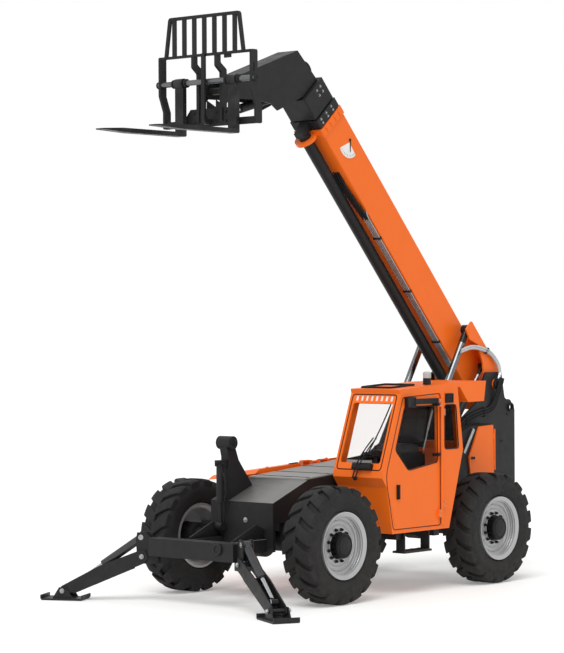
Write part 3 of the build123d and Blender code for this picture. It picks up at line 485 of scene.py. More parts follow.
# The front box in the charcoal enamel, with a painted grey highlight of the top light on its sloping top and
# painted shade beside the boom rest
FRONT_BOX = TopLitBoxFinish("charcoal_box_enamel_lit_top", "#202021", "#29292A", 0.52, 0.08, grain=3.0, relief=0.03,
                         dust="#4C4A46", dust_top=0.9, dust_share=0.2)
# Silver-grey enamel on a pressed steel rim: a little metal flake in it, brake and road dust low down
RIM = RimFinish("rim_silver_enamel", "#B4B5B6", "#A2A3A4", 0.34, 0.06, 0.55, grain=3.0, relief=0.03,
                dust="#8F8A82", dust_top=1.1)
# Moulded tyre rubber: matt, bloomed grey in patches, with the mould's fine pits
RUBBER = DustyFinish("moulded_tyre_rubber", "#242424", "#2F2E2D", 0.74, 0.1, patch=140.0, wear=0.6, grain=2.0,
                     relief=0.25, dust="#4E4B46", dust_top=1.3, dust_share=0.2)
# Ground and polished hard chrome: a bright mirror with oil smears
CHROME = Finish("ground_hard_chrome", "#B2B4B6", "#9FA2A5", 0.2, 0.06, 1.0, patch=60.0, grain=1.0,
                relief=0.01)
# The same chrome on rods whose forged eyes are painted black
LIFT_ROD = RodFinish("lift_rod_hard_chrome", "#747678", "#646669", 0.22, 0.06, 1.0, patch=60.0, grain=1.0,
                     relief=0.01, eye=(-2.066, 3.008), reach=0.20)
SLAVE_ROD = RodFinish("slave_rod_hard_chrome", "#A2A4A6", "#8F9295", 0.22, 0.06, 1.0, patch=60.0, grain=1.0,
                      relief=0.01, eye=(-2.382, 2.552), reach=0.14)
LEG_ROD = RodFinish("leg_rod_hard_chrome", "#B2B4B6", "#9FA2A5", 0.2, 0.06, 1.0, patch=60.0, grain=1.0,
                    relief=0.01, eye=(2.891, 0.181), reach=0.05)
# Sand-cast iron under thin black paint: the sand's 2 mm grain shows through
IRON = DustyFinish("painted_cast_iron", "#1D1D1E", "#2C2C2D", 0.6, 0.1, grain=2.0, relief=0.35,
                   dust="#4A4743")
# Toughened float glass. Its IOR is far below 1.5, as each pane is a closed solid that would double the glare
GLASS = GlassFinish("toughened_float_glass", "#F3F1F1", "#EEEDED", 0.02, 0.01, patch=200.0, relief=0.0)
DOOR_GLASS = GlassFinish("tinted_float_glass", "#DFE1E0", "#D6D9D7", 0.02, 0.01, patch=200.0, relief=0.0)
# Embossed seat vinyl: dark grey and dull, with a leather grain of 1.6 mm
VINYL = Finish("embossed_seat_vinyl", "#363637", "#404041", 0.58, 0.08, patch=80.0, grain=1.6, relief=0.3)
# Moulded ABS: black, with a fine spark-eroded texture
PLASTIC = Finish("moulded_black_abs", "#161618", "#202021", 0.5, 0.1, patch=120.0, grain=1.2, relief=0.12)
# Forged steel under thin black paint, rubbed to a warm grey where loads slide on it
FORK = DustyFinish("forged_fork_steel", "#202021", "#4B4A49", 0.44, 0.12, 0.2, patch=220.0, wear=0.5,
                   grain=4.0, relief=0.08, dust_share=0.0)
# Moulded polycarbonate lamp: black socket, pale lens with a fine prism texture
BEACON = BeaconFinish("moulded_polycarbonate_lamp", "#1A1A1B", "#262627", 0.3, 0.06, patch=60.0,
                      grain=5.0, relief=0.1)
# Turned steel tube under one thin coat: dark, with long highlights of bare metal
BARREL = DustyFinish("turned_barrel_steel", "#48494B", "#3A3B3C", 0.3, 0.06, 0.7, patch=120.0, grain=2.0,
                     relief=0.03, dust_share=0.1)
# Zinc-plated steel: pale grey metal, dull in blotches where the plating has oxidised
STEEL = Finish("zinc_plated_steel", "#A7A9AB", "#868A8D", 0.34, 0.1, 0.9, patch=40.0, grain=1.5, relief=0.05)
# Drawn steel bar, bare and oiled: mid grey metal, streaked where the forks slide on it
SHAFT = Finish("drawn_steel_bar", "#6F7173", "#5A5C5E", 0.36, 0.08, 0.9, patch=50.0, grain=1.5, relief=0.05)
# Pale panes behind the roof's slots: painted light of the bright sky seen through the slots
SKY_LIT_PANE = Finish("pale_pane_painted_sky_light", "#ECECEA", "#DEDEDC", 0.3, 0.06, patch=60.0, grain=2.0, relief=0.02)
# Wrapped hydraulic hose: matt black with the wrap's print left in the rubber
HOSE = Finish("wrapped_hose_rubber", "#19191A", "#252526", 0.6, 0.1, patch=60.0, grain=1.5, relief=0.2)
# Braided nylon sleeve: pale grey and dry, its 2 mm braid drawn as fine pits
SLEEVE = Finish("braided_nylon_sleeve", "#C4C6C7", "#A8AAAB", 0.55, 0.08, patch=60.0, grain=2.0, relief=0.25)
# White enamel on thin sheet: smooth and clean
WHITE = Finish("white_sheet_enamel", "#F2F2F0", "#E4E4E0", 0.45, 0.06, patch=90.0, grain=2.0, relief=0.02)


class Shop:
    """Modelling steps shared by the small parts."""

    @staticmethod
    def clear() -> None:
        """Deselects everything, so that an operator touches only the new piece."""
        if bpy.context.mode != "OBJECT":
            bpy.ops.object.mode_set(mode="OBJECT")
        bpy.ops.object.select_all(action="DESELECT")

    @staticmethod
    def pick(obj: bpy.types.Object) -> None:
        """Makes one object the only selected and active one.

        Args:
            obj: The object to work on.
        """
        Shop.clear()
        obj.select_set(True)
        bpy.context.view_layer.objects.active = obj

    @staticmethod
    def faces(direction: Sequence[float], limit: float = 0.9) -> None:
        """Selects the faces of the edited mesh that look one way.

        Args:
            direction: The way to look for.
            limit: Least cosine between a face's normal and the direction.
        """
        bpy.ops.mesh.select_all(action="DESELECT")
        bpy.ops.object.mode_set(mode="OBJECT")
        mesh = bpy.context.active_object.data
        goal = Vector(direction).normalized()
        for polygon in mesh.polygons:
            polygon.select = polygon.normal.dot(goal) > limit
        bpy.ops.object.mode_set(mode="EDIT")

    @staticmethod
    def modify(obj: bpy.types.Object, kind: str, **settings: object) -> None:
        """Adds a modifier and applies it.

        Args:
            obj: The object to change.
            kind: Blender's type of the modifier.
            settings: The modifier's properties.
        """
        Shop.pick(obj)
        modifier = obj.modifiers.new(kind.lower(), kind)
        for key, value in settings.items():
            setattr(modifier, key, value)
        bpy.ops.object.modifier_apply(modifier=modifier.name)

    @staticmethod
    def settle(obj: bpy.types.Object, name: str, body: str, finish: Finish, bevel: float = 0.0,
               segments: int = 2) -> bpy.types.Object:
        """Fixes a piece's place in its mesh, softens its edges, paints it and lets it ride.

        Args:
            obj: The modelled piece.
            name: Its name in the table of pieces.
            body: The CAD body that carries it.
            finish: Its material.
            bevel: Width of the edge softening in metres.
            segments: Steps of the softening.

        Returns:
            The finished piece.
        """
        Shop.pick(obj)
        bpy.ops.object.transform_apply(location=True, rotation=True, scale=True)
        if bevel:
            Shop.modify(obj, "BEVEL", width=bevel, segments=segments, limit_method="ANGLE",
                        angle_limit=BEVEL_ANGLE)
        bpy.ops.object.shade_smooth_by_angle(angle=SMOOTH_ANGLE)
        obj.name = name
        obj.data.materials.clear()
        obj.data.materials.append(finish.material())
        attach(obj, body)
        log.info("piece %s on %s", name, body)
        return obj

    @staticmethod
    def bead(radius: float, thick: float) -> bpy.types.Object:
        """Makes a round bead with a flattened crown.

        Args:
            radius: Radius of the bead's middle in metres.
            thick: Half its width in metres.

        Returns:
            The new object about Z at the origin.
        """
        Shop.clear()
        bpy.ops.mesh.primitive_torus_add(major_segments=64, minor_segments=10, major_radius=radius,
                                         minor_radius=thick)
        obj = bpy.context.active_object
        bpy.ops.object.mode_set(mode="EDIT")
        bpy.ops.mesh.select_all(action="SELECT")
        bpy.ops.transform.resize(value=(1.0, 1.0, 0.8))
        bpy.ops.object.mode_set(mode="OBJECT")
        return obj

    @staticmethod
    def turned(steps: Sequence[tuple[float, float]], vertices: int = 32) -> bpy.types.Object:
        """Turns a round form about Z, starting from a disc and drawing it up step by step.

        Args:
            steps: Radius and height of each ring, from the foot up.
            vertices: Number of sides.

        Returns:
            The new object at the origin.
        """
        Shop.clear()
        radius, height = steps[0]
        bpy.ops.mesh.primitive_circle_add(vertices=vertices, radius=radius, fill_type="NGON",
                                          location=(0, 0, height))
        obj = bpy.context.active_object
        bpy.ops.object.transform_apply(location=True)
        bpy.ops.object.mode_set(mode="EDIT")
        bpy.ops.mesh.select_all(action="SELECT")
        for wider, higher in steps[1:]:
            bpy.ops.mesh.extrude_region_move(TRANSFORM_OT_translate={"value": (0, 0, higher - height)})
            share = wider / radius
            bpy.ops.transform.resize(value=(share, share, 1), center_override=(0, 0, higher))
            radius, height = wider, higher
        bpy.ops.mesh.select_all(action="SELECT")
        bpy.ops.mesh.normals_make_consistent(inside=False)
        bpy.ops.object.mode_set(mode="OBJECT")
        return obj

    @staticmethod
    def hoop(steps: Sequence[tuple[float, float]], vertices: int = 64) -> bpy.types.Object:
        """Draws a closed section round Z as a ring, edge by edge.

        Args:
            steps: Radius and height of each edge in order round the section.
            vertices: Number of sides.

        Returns:
            The new object at the origin.
        """
        Shop.clear()
        radius, height = steps[0]
        bpy.ops.mesh.primitive_circle_add(vertices=vertices, radius=radius, fill_type="NOTHING",
                                          location=(0, 0, height))
        obj = bpy.context.active_object
        bpy.ops.object.transform_apply(location=True)
        bpy.ops.object.mode_set(mode="EDIT")
        bpy.ops.mesh.select_all(action="SELECT")
        for wider, higher in [*steps[1:], steps[0]]:
            bpy.ops.mesh.extrude_region_move(TRANSFORM_OT_translate={"value": (0, 0, higher - height)})
            share = wider / radius
            bpy.ops.transform.resize(value=(share, share, 1), center_override=(0, 0, higher))
            radius, height = wider, higher
        bpy.ops.mesh.select_all(action="SELECT")
        bpy.ops.mesh.remove_doubles(threshold=0.0001)
        bpy.ops.mesh.normals_make_consistent(inside=False)
        bpy.ops.object.mode_set(mode="OBJECT")
        return obj

    @staticmethod
    def aim(obj: bpy.types.Object, place: Vector, direction: Sequence[float]) -> None:
        """Puts an object modelled along Z at a place and turns it.

        Args:
            obj: The object.
            place: Where its origin goes.
            direction: Where its Z goes.
        """
        turn = Vector(direction).to_track_quat("Z", "Y").to_matrix().to_4x4()
        obj.matrix_world = Matrix.Translation(place) @ turn

    @staticmethod
    def copies(obj: bpy.types.Object, places: Iterable[tuple[Vector, Sequence[float]]]) -> bpy.types.Object:
        """Copies a modelled piece to many places and joins the copies.

        Args:
            obj: The piece, modelled along Z at the origin.
            places: Place and direction of each copy.

        Returns:
            The joined object.
        """
        made = []
        for place, direction in places:
            twin = obj.copy()
            twin.data = obj.data.copy()
            bpy.context.collection.objects.link(twin)
            Shop.aim(twin, place, direction)
            made.append(twin)
        Shop.pick(obj)
        bpy.ops.object.delete()
        Shop.pick(made[0])
        for twin in made:
            twin.select_set(True)
        bpy.ops.object.transform_apply(location=True, rotation=True, scale=True)
        bpy.ops.object.join()
        return bpy.context.active_object

    @staticmethod
    def bolts(name: str, body: str, places: Sequence[tuple[Vector, Sequence[float]]], radius: float = 0.014,
              finish: Finish | None = None) -> bpy.types.Object:
        """Sets hexagon bolts with washers.

        Args:
            name: Name of the group.
            body: The CAD body that carries them.
            places: Place and outward direction of each bolt.
            radius: Half the width over the corners in metres.
            finish: Their material.

        Returns:
            The group as one piece.
        """
        head = Shop.turned([(radius, 0.0), (radius, radius * 0.75), (radius * 0.82, radius * 0.95)], 6)
        washer = Shop.turned([(radius * 1.35, -0.001), (radius * 1.35, radius * 0.16)], 20)
        Shop.pick(head)
        washer.select_set(True)
        bpy.ops.object.join()
        group = Shop.copies(bpy.context.active_object, places)
        return Shop.settle(group, name, body, finish or STEEL)

    @staticmethod
    def pipe(name: str, body: str, finish: Finish, points: Sequence[Vector], radius: float,
             resolution: int = 3) -> bpy.types.Object:
        """Bends a tube along a smooth line.

        Args:
            name: Name of the piece.
            body: The CAD body that carries it.
            finish: Its material.
            points: Control points of the line.
            radius: Radius of the tube in metres.
            resolution: Roundness of the tube.

        Returns:
            The finished piece.
        """
        Shop.clear()
        bpy.ops.curve.primitive_nurbs_path_add()
        obj = bpy.context.active_object
        obj.data.splines.clear()
        spline = obj.data.splines.new("NURBS")
        spline.points.add(len(points) - 1)
        for control, place in zip(spline.points, points):
            control.co = (*place, 1.0)
        spline.order_u = 3
        spline.use_endpoint_u = True
        obj.data.dimensions = "3D"
        obj.data.resolution_u = 6
        obj.data.bevel_depth = radius
        obj.data.bevel_resolution = resolution
        obj.data.use_fill_caps = True
        Shop.pick(obj)
        bpy.ops.object.convert(target="MESH")
        return Shop.settle(bpy.context.active_object, name, body, finish)

    @staticmethod
    def block(size: Sequence[float], place: Vector = Vector(),
              turn: Matrix | None = None) -> bpy.types.Object:
        """Starts a piece from a box at its size and place.

        Args:
            size: Length along X, Y and Z in metres.
            place: Its centre.
            turn: Rotation about the centre.

        Returns:
            The new object.
        """
        Shop.clear()
        bpy.ops.mesh.primitive_cube_add(size=1.0)
        obj = bpy.context.active_object
        obj.scale = size
        bpy.ops.object.transform_apply(scale=True)
        obj.matrix_world = Matrix.Translation(place) @ (turn.to_4x4() if turn else Matrix())
        return obj

    @staticmethod
    def sink(direction: Sequence[float], rim: float, depth: float) -> None:
        """Insets the active object's faces that look one way and pushes them in.

        Args:
            direction: The faces' outward direction in the object's own frame.
            rim: Width of the rim left standing, in metres.
            depth: Depth of the recess; negative raises the faces.
        """
        bpy.ops.object.mode_set(mode="EDIT")
        Shop.faces(direction)
        bpy.ops.mesh.inset(thickness=rim)
        push = Vector(direction).normalized() * -depth
        bpy.ops.mesh.extrude_region_move(TRANSFORM_OT_translate={"value": tuple(push)})
        bpy.ops.object.mode_set(mode="OBJECT")

    @staticmethod
    def join(parts: Sequence[bpy.types.Object]) -> bpy.types.Object:
        """Joins modelled pieces into one.

        Args:
            parts: The pieces; the first keeps its name.

        Returns:
            The joined object.
        """
        for part in parts:
            Shop.pick(part)
            bpy.ops.object.transform_apply(location=True, rotation=True, scale=True)
        Shop.pick(parts[0])
        for part in parts:
            part.select_set(True)
        bpy.ops.object.join()
        return bpy.context.active_object


class Corner(Enum):
    """The four wheels by name, with their signs along X and Y."""

    FRONT_LEFT = ("front_left", 1, 1)
    FRONT_RIGHT = ("front_right", 1, -1)
    REAR_LEFT = ("rear_left", -1, 1)
    REAR_RIGHT = ("rear_right", -1, -1)


@dataclass
class WheelDress:
    """Nuts, hub cap, hub bolts and pressed beads of one wheel."""

    corner: Corner
    half_base: float = 1.44
    half_track: float = 1.078
    axle_z: float = 0.655
    nut_circle: float = 0.178
    nuts: int = 12
    nut_seat: float = 0.0885
    hub_circle: float = 0.112
    hub_bolts: int = 8
    hub_face: float = 0.182
    beads: tuple[Point, ...] = ((0.3265, 0.148, 0.008), (0.3215, 0.117, 0.008), (0.274, 0.084, 0.013),
                                (0.226, 0.082, 0.010))

    def dress(self) -> None:
        """Adds the small parts to the wheel."""
        tag, fore, hand = self.corner.value
        centre = machine(fore * self.half_base, hand * self.half_track, self.axle_z)
        out = (0, hand, 0)
        body = f"wheel_{tag}"
        places = []
        for k in range(self.nuts):
            a = math.tau * (k + 0.5) / self.nuts
            places.append((centre + Vector((self.nut_circle * math.cos(a), hand * self.nut_seat,
                                            self.nut_circle * math.sin(a))), out))
        nut = Shop.turned([(0.021, 0.0), (0.021, 0.004), (0.0165, 0.005), (0.0165, 0.024), (0.009, 0.025),
                           (0.009, 0.036), (0.006, 0.038)], 6)
        Shop.settle(Shop.copies(nut, places), f"wheel_nuts_{tag}", body, PLASTIC, 0.0008, 1)
        cap = Shop.turned([(0.096, 0.1815), (0.096, 0.186), (0.088, 0.189), (0.062, 0.190), (0.056, 0.193),
                           (0.030, 0.1945)], 40)
        Shop.aim(cap, centre, out)
        Shop.settle(cap, f"hub_cap_{tag}", body, IRON)
        beads = []
        for radius, out_by, thick in self.beads:
            bead = Shop.bead(radius, thick)
            Shop.aim(bead, centre + Vector((0, hand * out_by, 0)), out)
            beads.append(bead)
        Shop.settle(Shop.join(beads), f"rim_beads_{tag}", body, RIM)
        ring = [(centre + Vector((self.hub_circle * math.cos(a), hand * self.hub_face,
                                  self.hub_circle * math.sin(a))), out)
                for a in (math.tau * k / self.hub_bolts for k in range(self.hub_bolts))]
        Shop.bolts(f"hub_bolts_{tag}", body, ring, 0.007, IRON)


def pin_head(radius: float) -> bpy.types.Object:
    """Models a pivot pin's end with its keeper groove and grease nipple.

    Args:
        radius: Radius of the pin in metres.

    Returns:
        The new object, standing on the origin along Z.
    """
    head = Shop.turned([(radius * 1.25, -0.002), (radius * 1.25, 0.006), (radius, 0.008), (radius, 0.018),
                        (radius * 0.86, 0.022), (radius * 0.3, 0.022), (radius * 0.3, 0.016)], 32)
    nipple = Shop.turned([(0.005, 0.014), (0.005, 0.024), (0.0035, 0.026), (0.004, 0.031),
                          (0.002, 0.033)], 10)
    return Shop.join([head, nipple])


def pin_washer(radius: float) -> bpy.types.Object:
    """Models the flat keeper of a pin that another part passes closely.

    Args:
        radius: Radius of the keeper in metres.

    Returns:
        The new object, standing on the origin along Z.
    """
    return Shop.turned([(radius, -0.002), (radius, 0.002), (radius * 0.85, 0.004), (radius * 0.4, 0.004),
                        (radius * 0.35, 0.001)], 32)


def seal(name: str, body: str, corners: Sequence[Vector], radius: float = 0.007,
         inset: float = 0.03) -> bpy.types.Object:
    """Lays a round rubber strip along a closed outline, as on a window or the roof.

    Args:
        name: Name of the piece.
        body: The CAD body that carries it.
        corners: The outline's corners in order.
        radius: Half the strip's width in metres.
        inset: How far from a corner its rounding starts, in metres.

    Returns:
        The finished piece.
    """
    Shop.clear()
    bpy.ops.curve.primitive_nurbs_path_add()
    obj = bpy.context.active_object
    obj.data.splines.clear()
    spline = obj.data.splines.new("POLY")
    path = []
    for index, corner in enumerate(corners):
        back = (corners[index - 1] - corner).normalized()
        ahead = (corners[(index + 1) % len(corners)] - corner).normalized()
        path.append(corner + back * inset)
        path.append(corner + (back + ahead) * inset * 0.3)
        path.append(corner + ahead * inset)
    spline.points.add(len(path) - 1)
    for control, place in zip(spline.points, path):
        control.co = (*place, 1.0)
    spline.use_cyclic_u = True
    obj.data.dimensions = "3D"
    obj.data.bevel_depth = radius
    obj.data.bevel_resolution = 2
    Shop.pick(obj)
    bpy.ops.object.convert(target="MESH")
    return Shop.settle(bpy.context.active_object, name, body, HOSE)


@dataclass
class BoomDress:
    """Angle dial, steel lines, hoses, bolts and rear cover of the boom."""

    half_width: float = 0.200
    half_height: float = 0.225
    dial_at: tuple[float, float] = (3.842, 0.071)
    dial_radius: float = 0.185
    line_start: float = 0.55
    line_end: float = 2.98
    line_drop: float = 0.020
    dial_ticks: int = 9
    tick_radius: float = 0.158
    neck_hose_y: float = 0.055

    def dress(self) -> None:
        """Adds the boom's small parts."""
        self.dial()
        self.lines()
        self.hoses()
        self.fasteners()
        self.cover()

    def dial(self) -> None:
        """Adds the white fan of the angle dial with its hanging needle and bare ticks."""
        plate = Shop.turned([(self.dial_radius, 0.0), (self.dial_radius, 0.003),
                             (self.dial_radius * 0.97, 0.004)], 64)
        bpy.ops.object.mode_set(mode="EDIT")
        for way in ((0.795, 0.607, 0), (-0.381, 0.925, 0)):
            bpy.ops.mesh.select_all(action="SELECT")
            bpy.ops.mesh.bisect(plane_co=(0, 0, 0), plane_no=way, clear_outer=True, use_fill=True)
        bpy.ops.object.mode_set(mode="OBJECT")
        place = on_boom(*self.dial_at, self.half_width + 0.0005)
        turn = Matrix(((-1, 0, 0), (0, 0, 1), (0, 1, 0))).transposed()
        plate.matrix_world = Matrix.Translation(place) @ turn.to_4x4()
        Shop.settle(plate, "angle_dial", "boom", WHITE, 0.001)
        needle = Shop.turned([(0.016, 0.0), (0.016, 0.006), (0.012, 0.009)], 24)
        arm = Shop.block((0.020, 0.004, 0.150), Vector((0, 0, -0.05)))
        bpy.ops.object.mode_set(mode="EDIT")
        Shop.faces((0, 0, -1))
        bpy.ops.transform.resize(value=(0.35, 1, 1), center_override=(0, 0, -0.1))
        bpy.ops.object.mode_set(mode="OBJECT")
        spot = place + Vector((-0.012, 0.004, 0.030))
        Shop.aim(needle, spot, (0, 1, 0))
        arm.matrix_world = Matrix.Translation(spot + Vector((0, 0.004, -0.065)))
        Shop.settle(Shop.join([needle, arm]), "dial_needle", "boom", PLASTIC)
        ticks = []
        for k in range(self.dial_ticks):
            angle = math.radians(-60.0 - k * 11.0)
            tick = Shop.block((0.018 if k % 2 else 0.028, 0.004, 0.0012),
                              Vector((self.tick_radius, 0, 0.0042)))
            bpy.ops.object.mode_set(mode="EDIT")
            Shop.faces((0, 0, 1))
            bpy.ops.transform.resize(value=(0.9, 0.7, 1), center_override=(self.tick_radius, 0, 0.0048))
            bpy.ops.object.mode_set(mode="OBJECT")
            tick.matrix_world = (Matrix.Translation(place) @ turn.to_4x4() @ Matrix.Rotation(angle, 4, "Z")
                                 @ tick.matrix_world)
            ticks.append(tick)
        Shop.settle(Shop.join(ticks), "dial_ticks", "boom", PLASTIC)

    def hoses(self) -> None:
        """Clamps the sleeved hose bundle over the boom's ear and the short loops behind the neck."""
        self.sleeve()
        for k in range(2):
            y = self.neck_hose_y * (2 * k - 1)
            Shop.pipe(f"neck_hose_{k}", "boom_four", HOSE,
                      [on_boom(4.705, 0.155, y), on_boom(4.745, 0.185, y), on_boom(4.800, 0.235, y),
                       on_boom(4.880, 0.245, y), on_boom(4.945, 0.210, y), on_boom(4.985, 0.150, y)], 0.015)
        feet = Shop.turned([(0.024, 0.0), (0.024, 0.014), (0.019, 0.016), (0.019, 0.030)], 6)
        up = (-math.sin(BOOM_ANGLE), 0, math.cos(BOOM_ANGLE))
        ends = [(on_boom(4.985, 0.128, self.neck_hose_y * (2 * k - 1)), up) for k in range(2)]
        Shop.settle(Shop.copies(feet, ends), "neck_hose_ends", "boom_four", STEEL)

    def sleeve(self) -> None:
        """Lays the bundle in its grey sleeve, with its end fittings, on the left ear."""
        route = [(0.749, -0.200, 0.408), (0.690, -0.075, 0.410), (0.600, 0.030, 0.410), (0.488, 0.124, 0.410),
                 (0.347, 0.212, 0.412), (0.203, 0.226, 0.425), (0.094, 0.195, 0.450), (0.046, 0.132, 0.462)]
        for k in range(2):
            drop = 0.013 - 0.026 * k
            Shop.pipe(f"ear_hose_{k}", "boom", SLEEVE,
                      [on_boom(s + drop * 0.4, n + drop, y) for s, n, y in route], 0.016)
        nuts = Shop.turned([(0.021, 0.0), (0.021, 0.030), (0.017, 0.032), (0.017, 0.052)], 6)
        down = on_boom(0.030, 0.080) - on_boom(0.046, 0.132)
        ends = [(on_boom(0.046 + 0.0052 - 0.0104 * k, 0.145 - 0.026 * k, 0.462), down) for k in range(2)]
        Shop.settle(Shop.copies(nuts, ends), "ear_hose_ends", "boom", STEEL)
        turn = Matrix.Rotation(-BOOM_ANGLE, 3, "Y")
        clip = Shop.block((0.030, 0.040, 0.082), on_boom(0.400, 0.180, 0.407), turn)
        Shop.sink((0, 1, 0), 0.008, 0.004)
        Shop.settle(clip, "ear_hose_clip", "boom", PLASTIC, 0.004)

    def lines(self) -> None:
        """Clips four bright steel lines under the boom's left edge and leads three hoses on from them."""
        low = -self.half_height - self.line_drop
        for k in range(4):
            y = self.half_width - 0.018 - k * 0.024
            points = [on_boom(self.line_start - 0.05, -self.half_height + 0.004, y),
                      on_boom(self.line_start, low, y), on_boom(self.line_start + 0.08, low, y),
                      on_boom(self.line_end - 0.08, low, y), on_boom(self.line_end, low, y),
                      on_boom(self.line_end + 0.05, -self.half_height + 0.004, y)]
            Shop.pipe(f"boom_line_{k}", "boom", STEEL, points, 0.009)
        clips = []
        turn = Matrix.Rotation(-BOOM_ANGLE, 3, "Y")
        for s in (0.945, 1.779, 2.627):
            clip = Shop.block((0.024, 0.114, 0.032),
                              on_boom(s, -self.half_height - 0.016, self.half_width - 0.058), turn)
            Shop.sink((0, 0, -1), 0.006, 0.004)
            clips.append(clip)
        Shop.settle(Shop.join(clips), "boom_line_clips", "boom", PLASTIC, 0.003)
        for k in range(3):
            y = self.half_width - 0.030 - k * 0.034
            Shop.pipe(f"boom_line_hose_{k}", "boom", HOSE,
                      [on_boom(2.93, low, y), on_boom(3.06, low - 0.012, y),
                       on_boom(3.28, low - 0.014, y - 0.030), on_boom(3.50, low - 0.008, y - 0.060),
                       on_boom(3.64, -self.half_height + 0.004, y - 0.070)], 0.015)

    def fasteners(self) -> None:
        """Bolts the wear pads of the boom sections."""
        for name, body, half, stations, heights in (
            ("boom_front_bolts", "boom", 0.2125, (4.205, 4.245), (-0.15, -0.05, 0.05, 0.15)),
            ("second_collar_bolts", "boom_two", 0.2105, (4.320, 4.370), (-0.15, -0.03, 0.09)),
            ("third_collar_bolts", "boom_three", 0.1945, (4.580, 4.650), (0.03, 0.11)),
        ):
            places = [(on_boom(s, n, hand * half), (0, hand, 0))
                      for hand in (1, -1) for s in stations for n in heights]
            finish = ORANGE if body == "boom" else STEEL
            Shop.bolts(name, body, places, 0.012, finish)
        up = (-math.sin(BOOM_ANGLE), 0, math.cos(BOOM_ANGLE))
        top = [(on_boom(s, 0.2205, y), up) for s in (4.320, 4.370) for y in (-0.13, -0.05, 0.05, 0.13)]
        Shop.bolts("second_collar_top_bolts", "boom_two", top, 0.012)

    def cover(self) -> None:
        """Closes the boom's rear end with a pressed cover."""
        turn = Matrix.Rotation(-BOOM_ANGLE, 3, "Y")
        cover = Shop.block((0.016, 0.372, 0.422), on_boom(-0.210, 0.0), turn)
        Shop.sink((-1, 0, 0), 0.035, 0.008)
        Shop.sink((-1, 0, 0), 0.030, -0.005)
        Shop.settle(cover, "boom_rear_cover", "boom", CHARCOAL, 0.003)


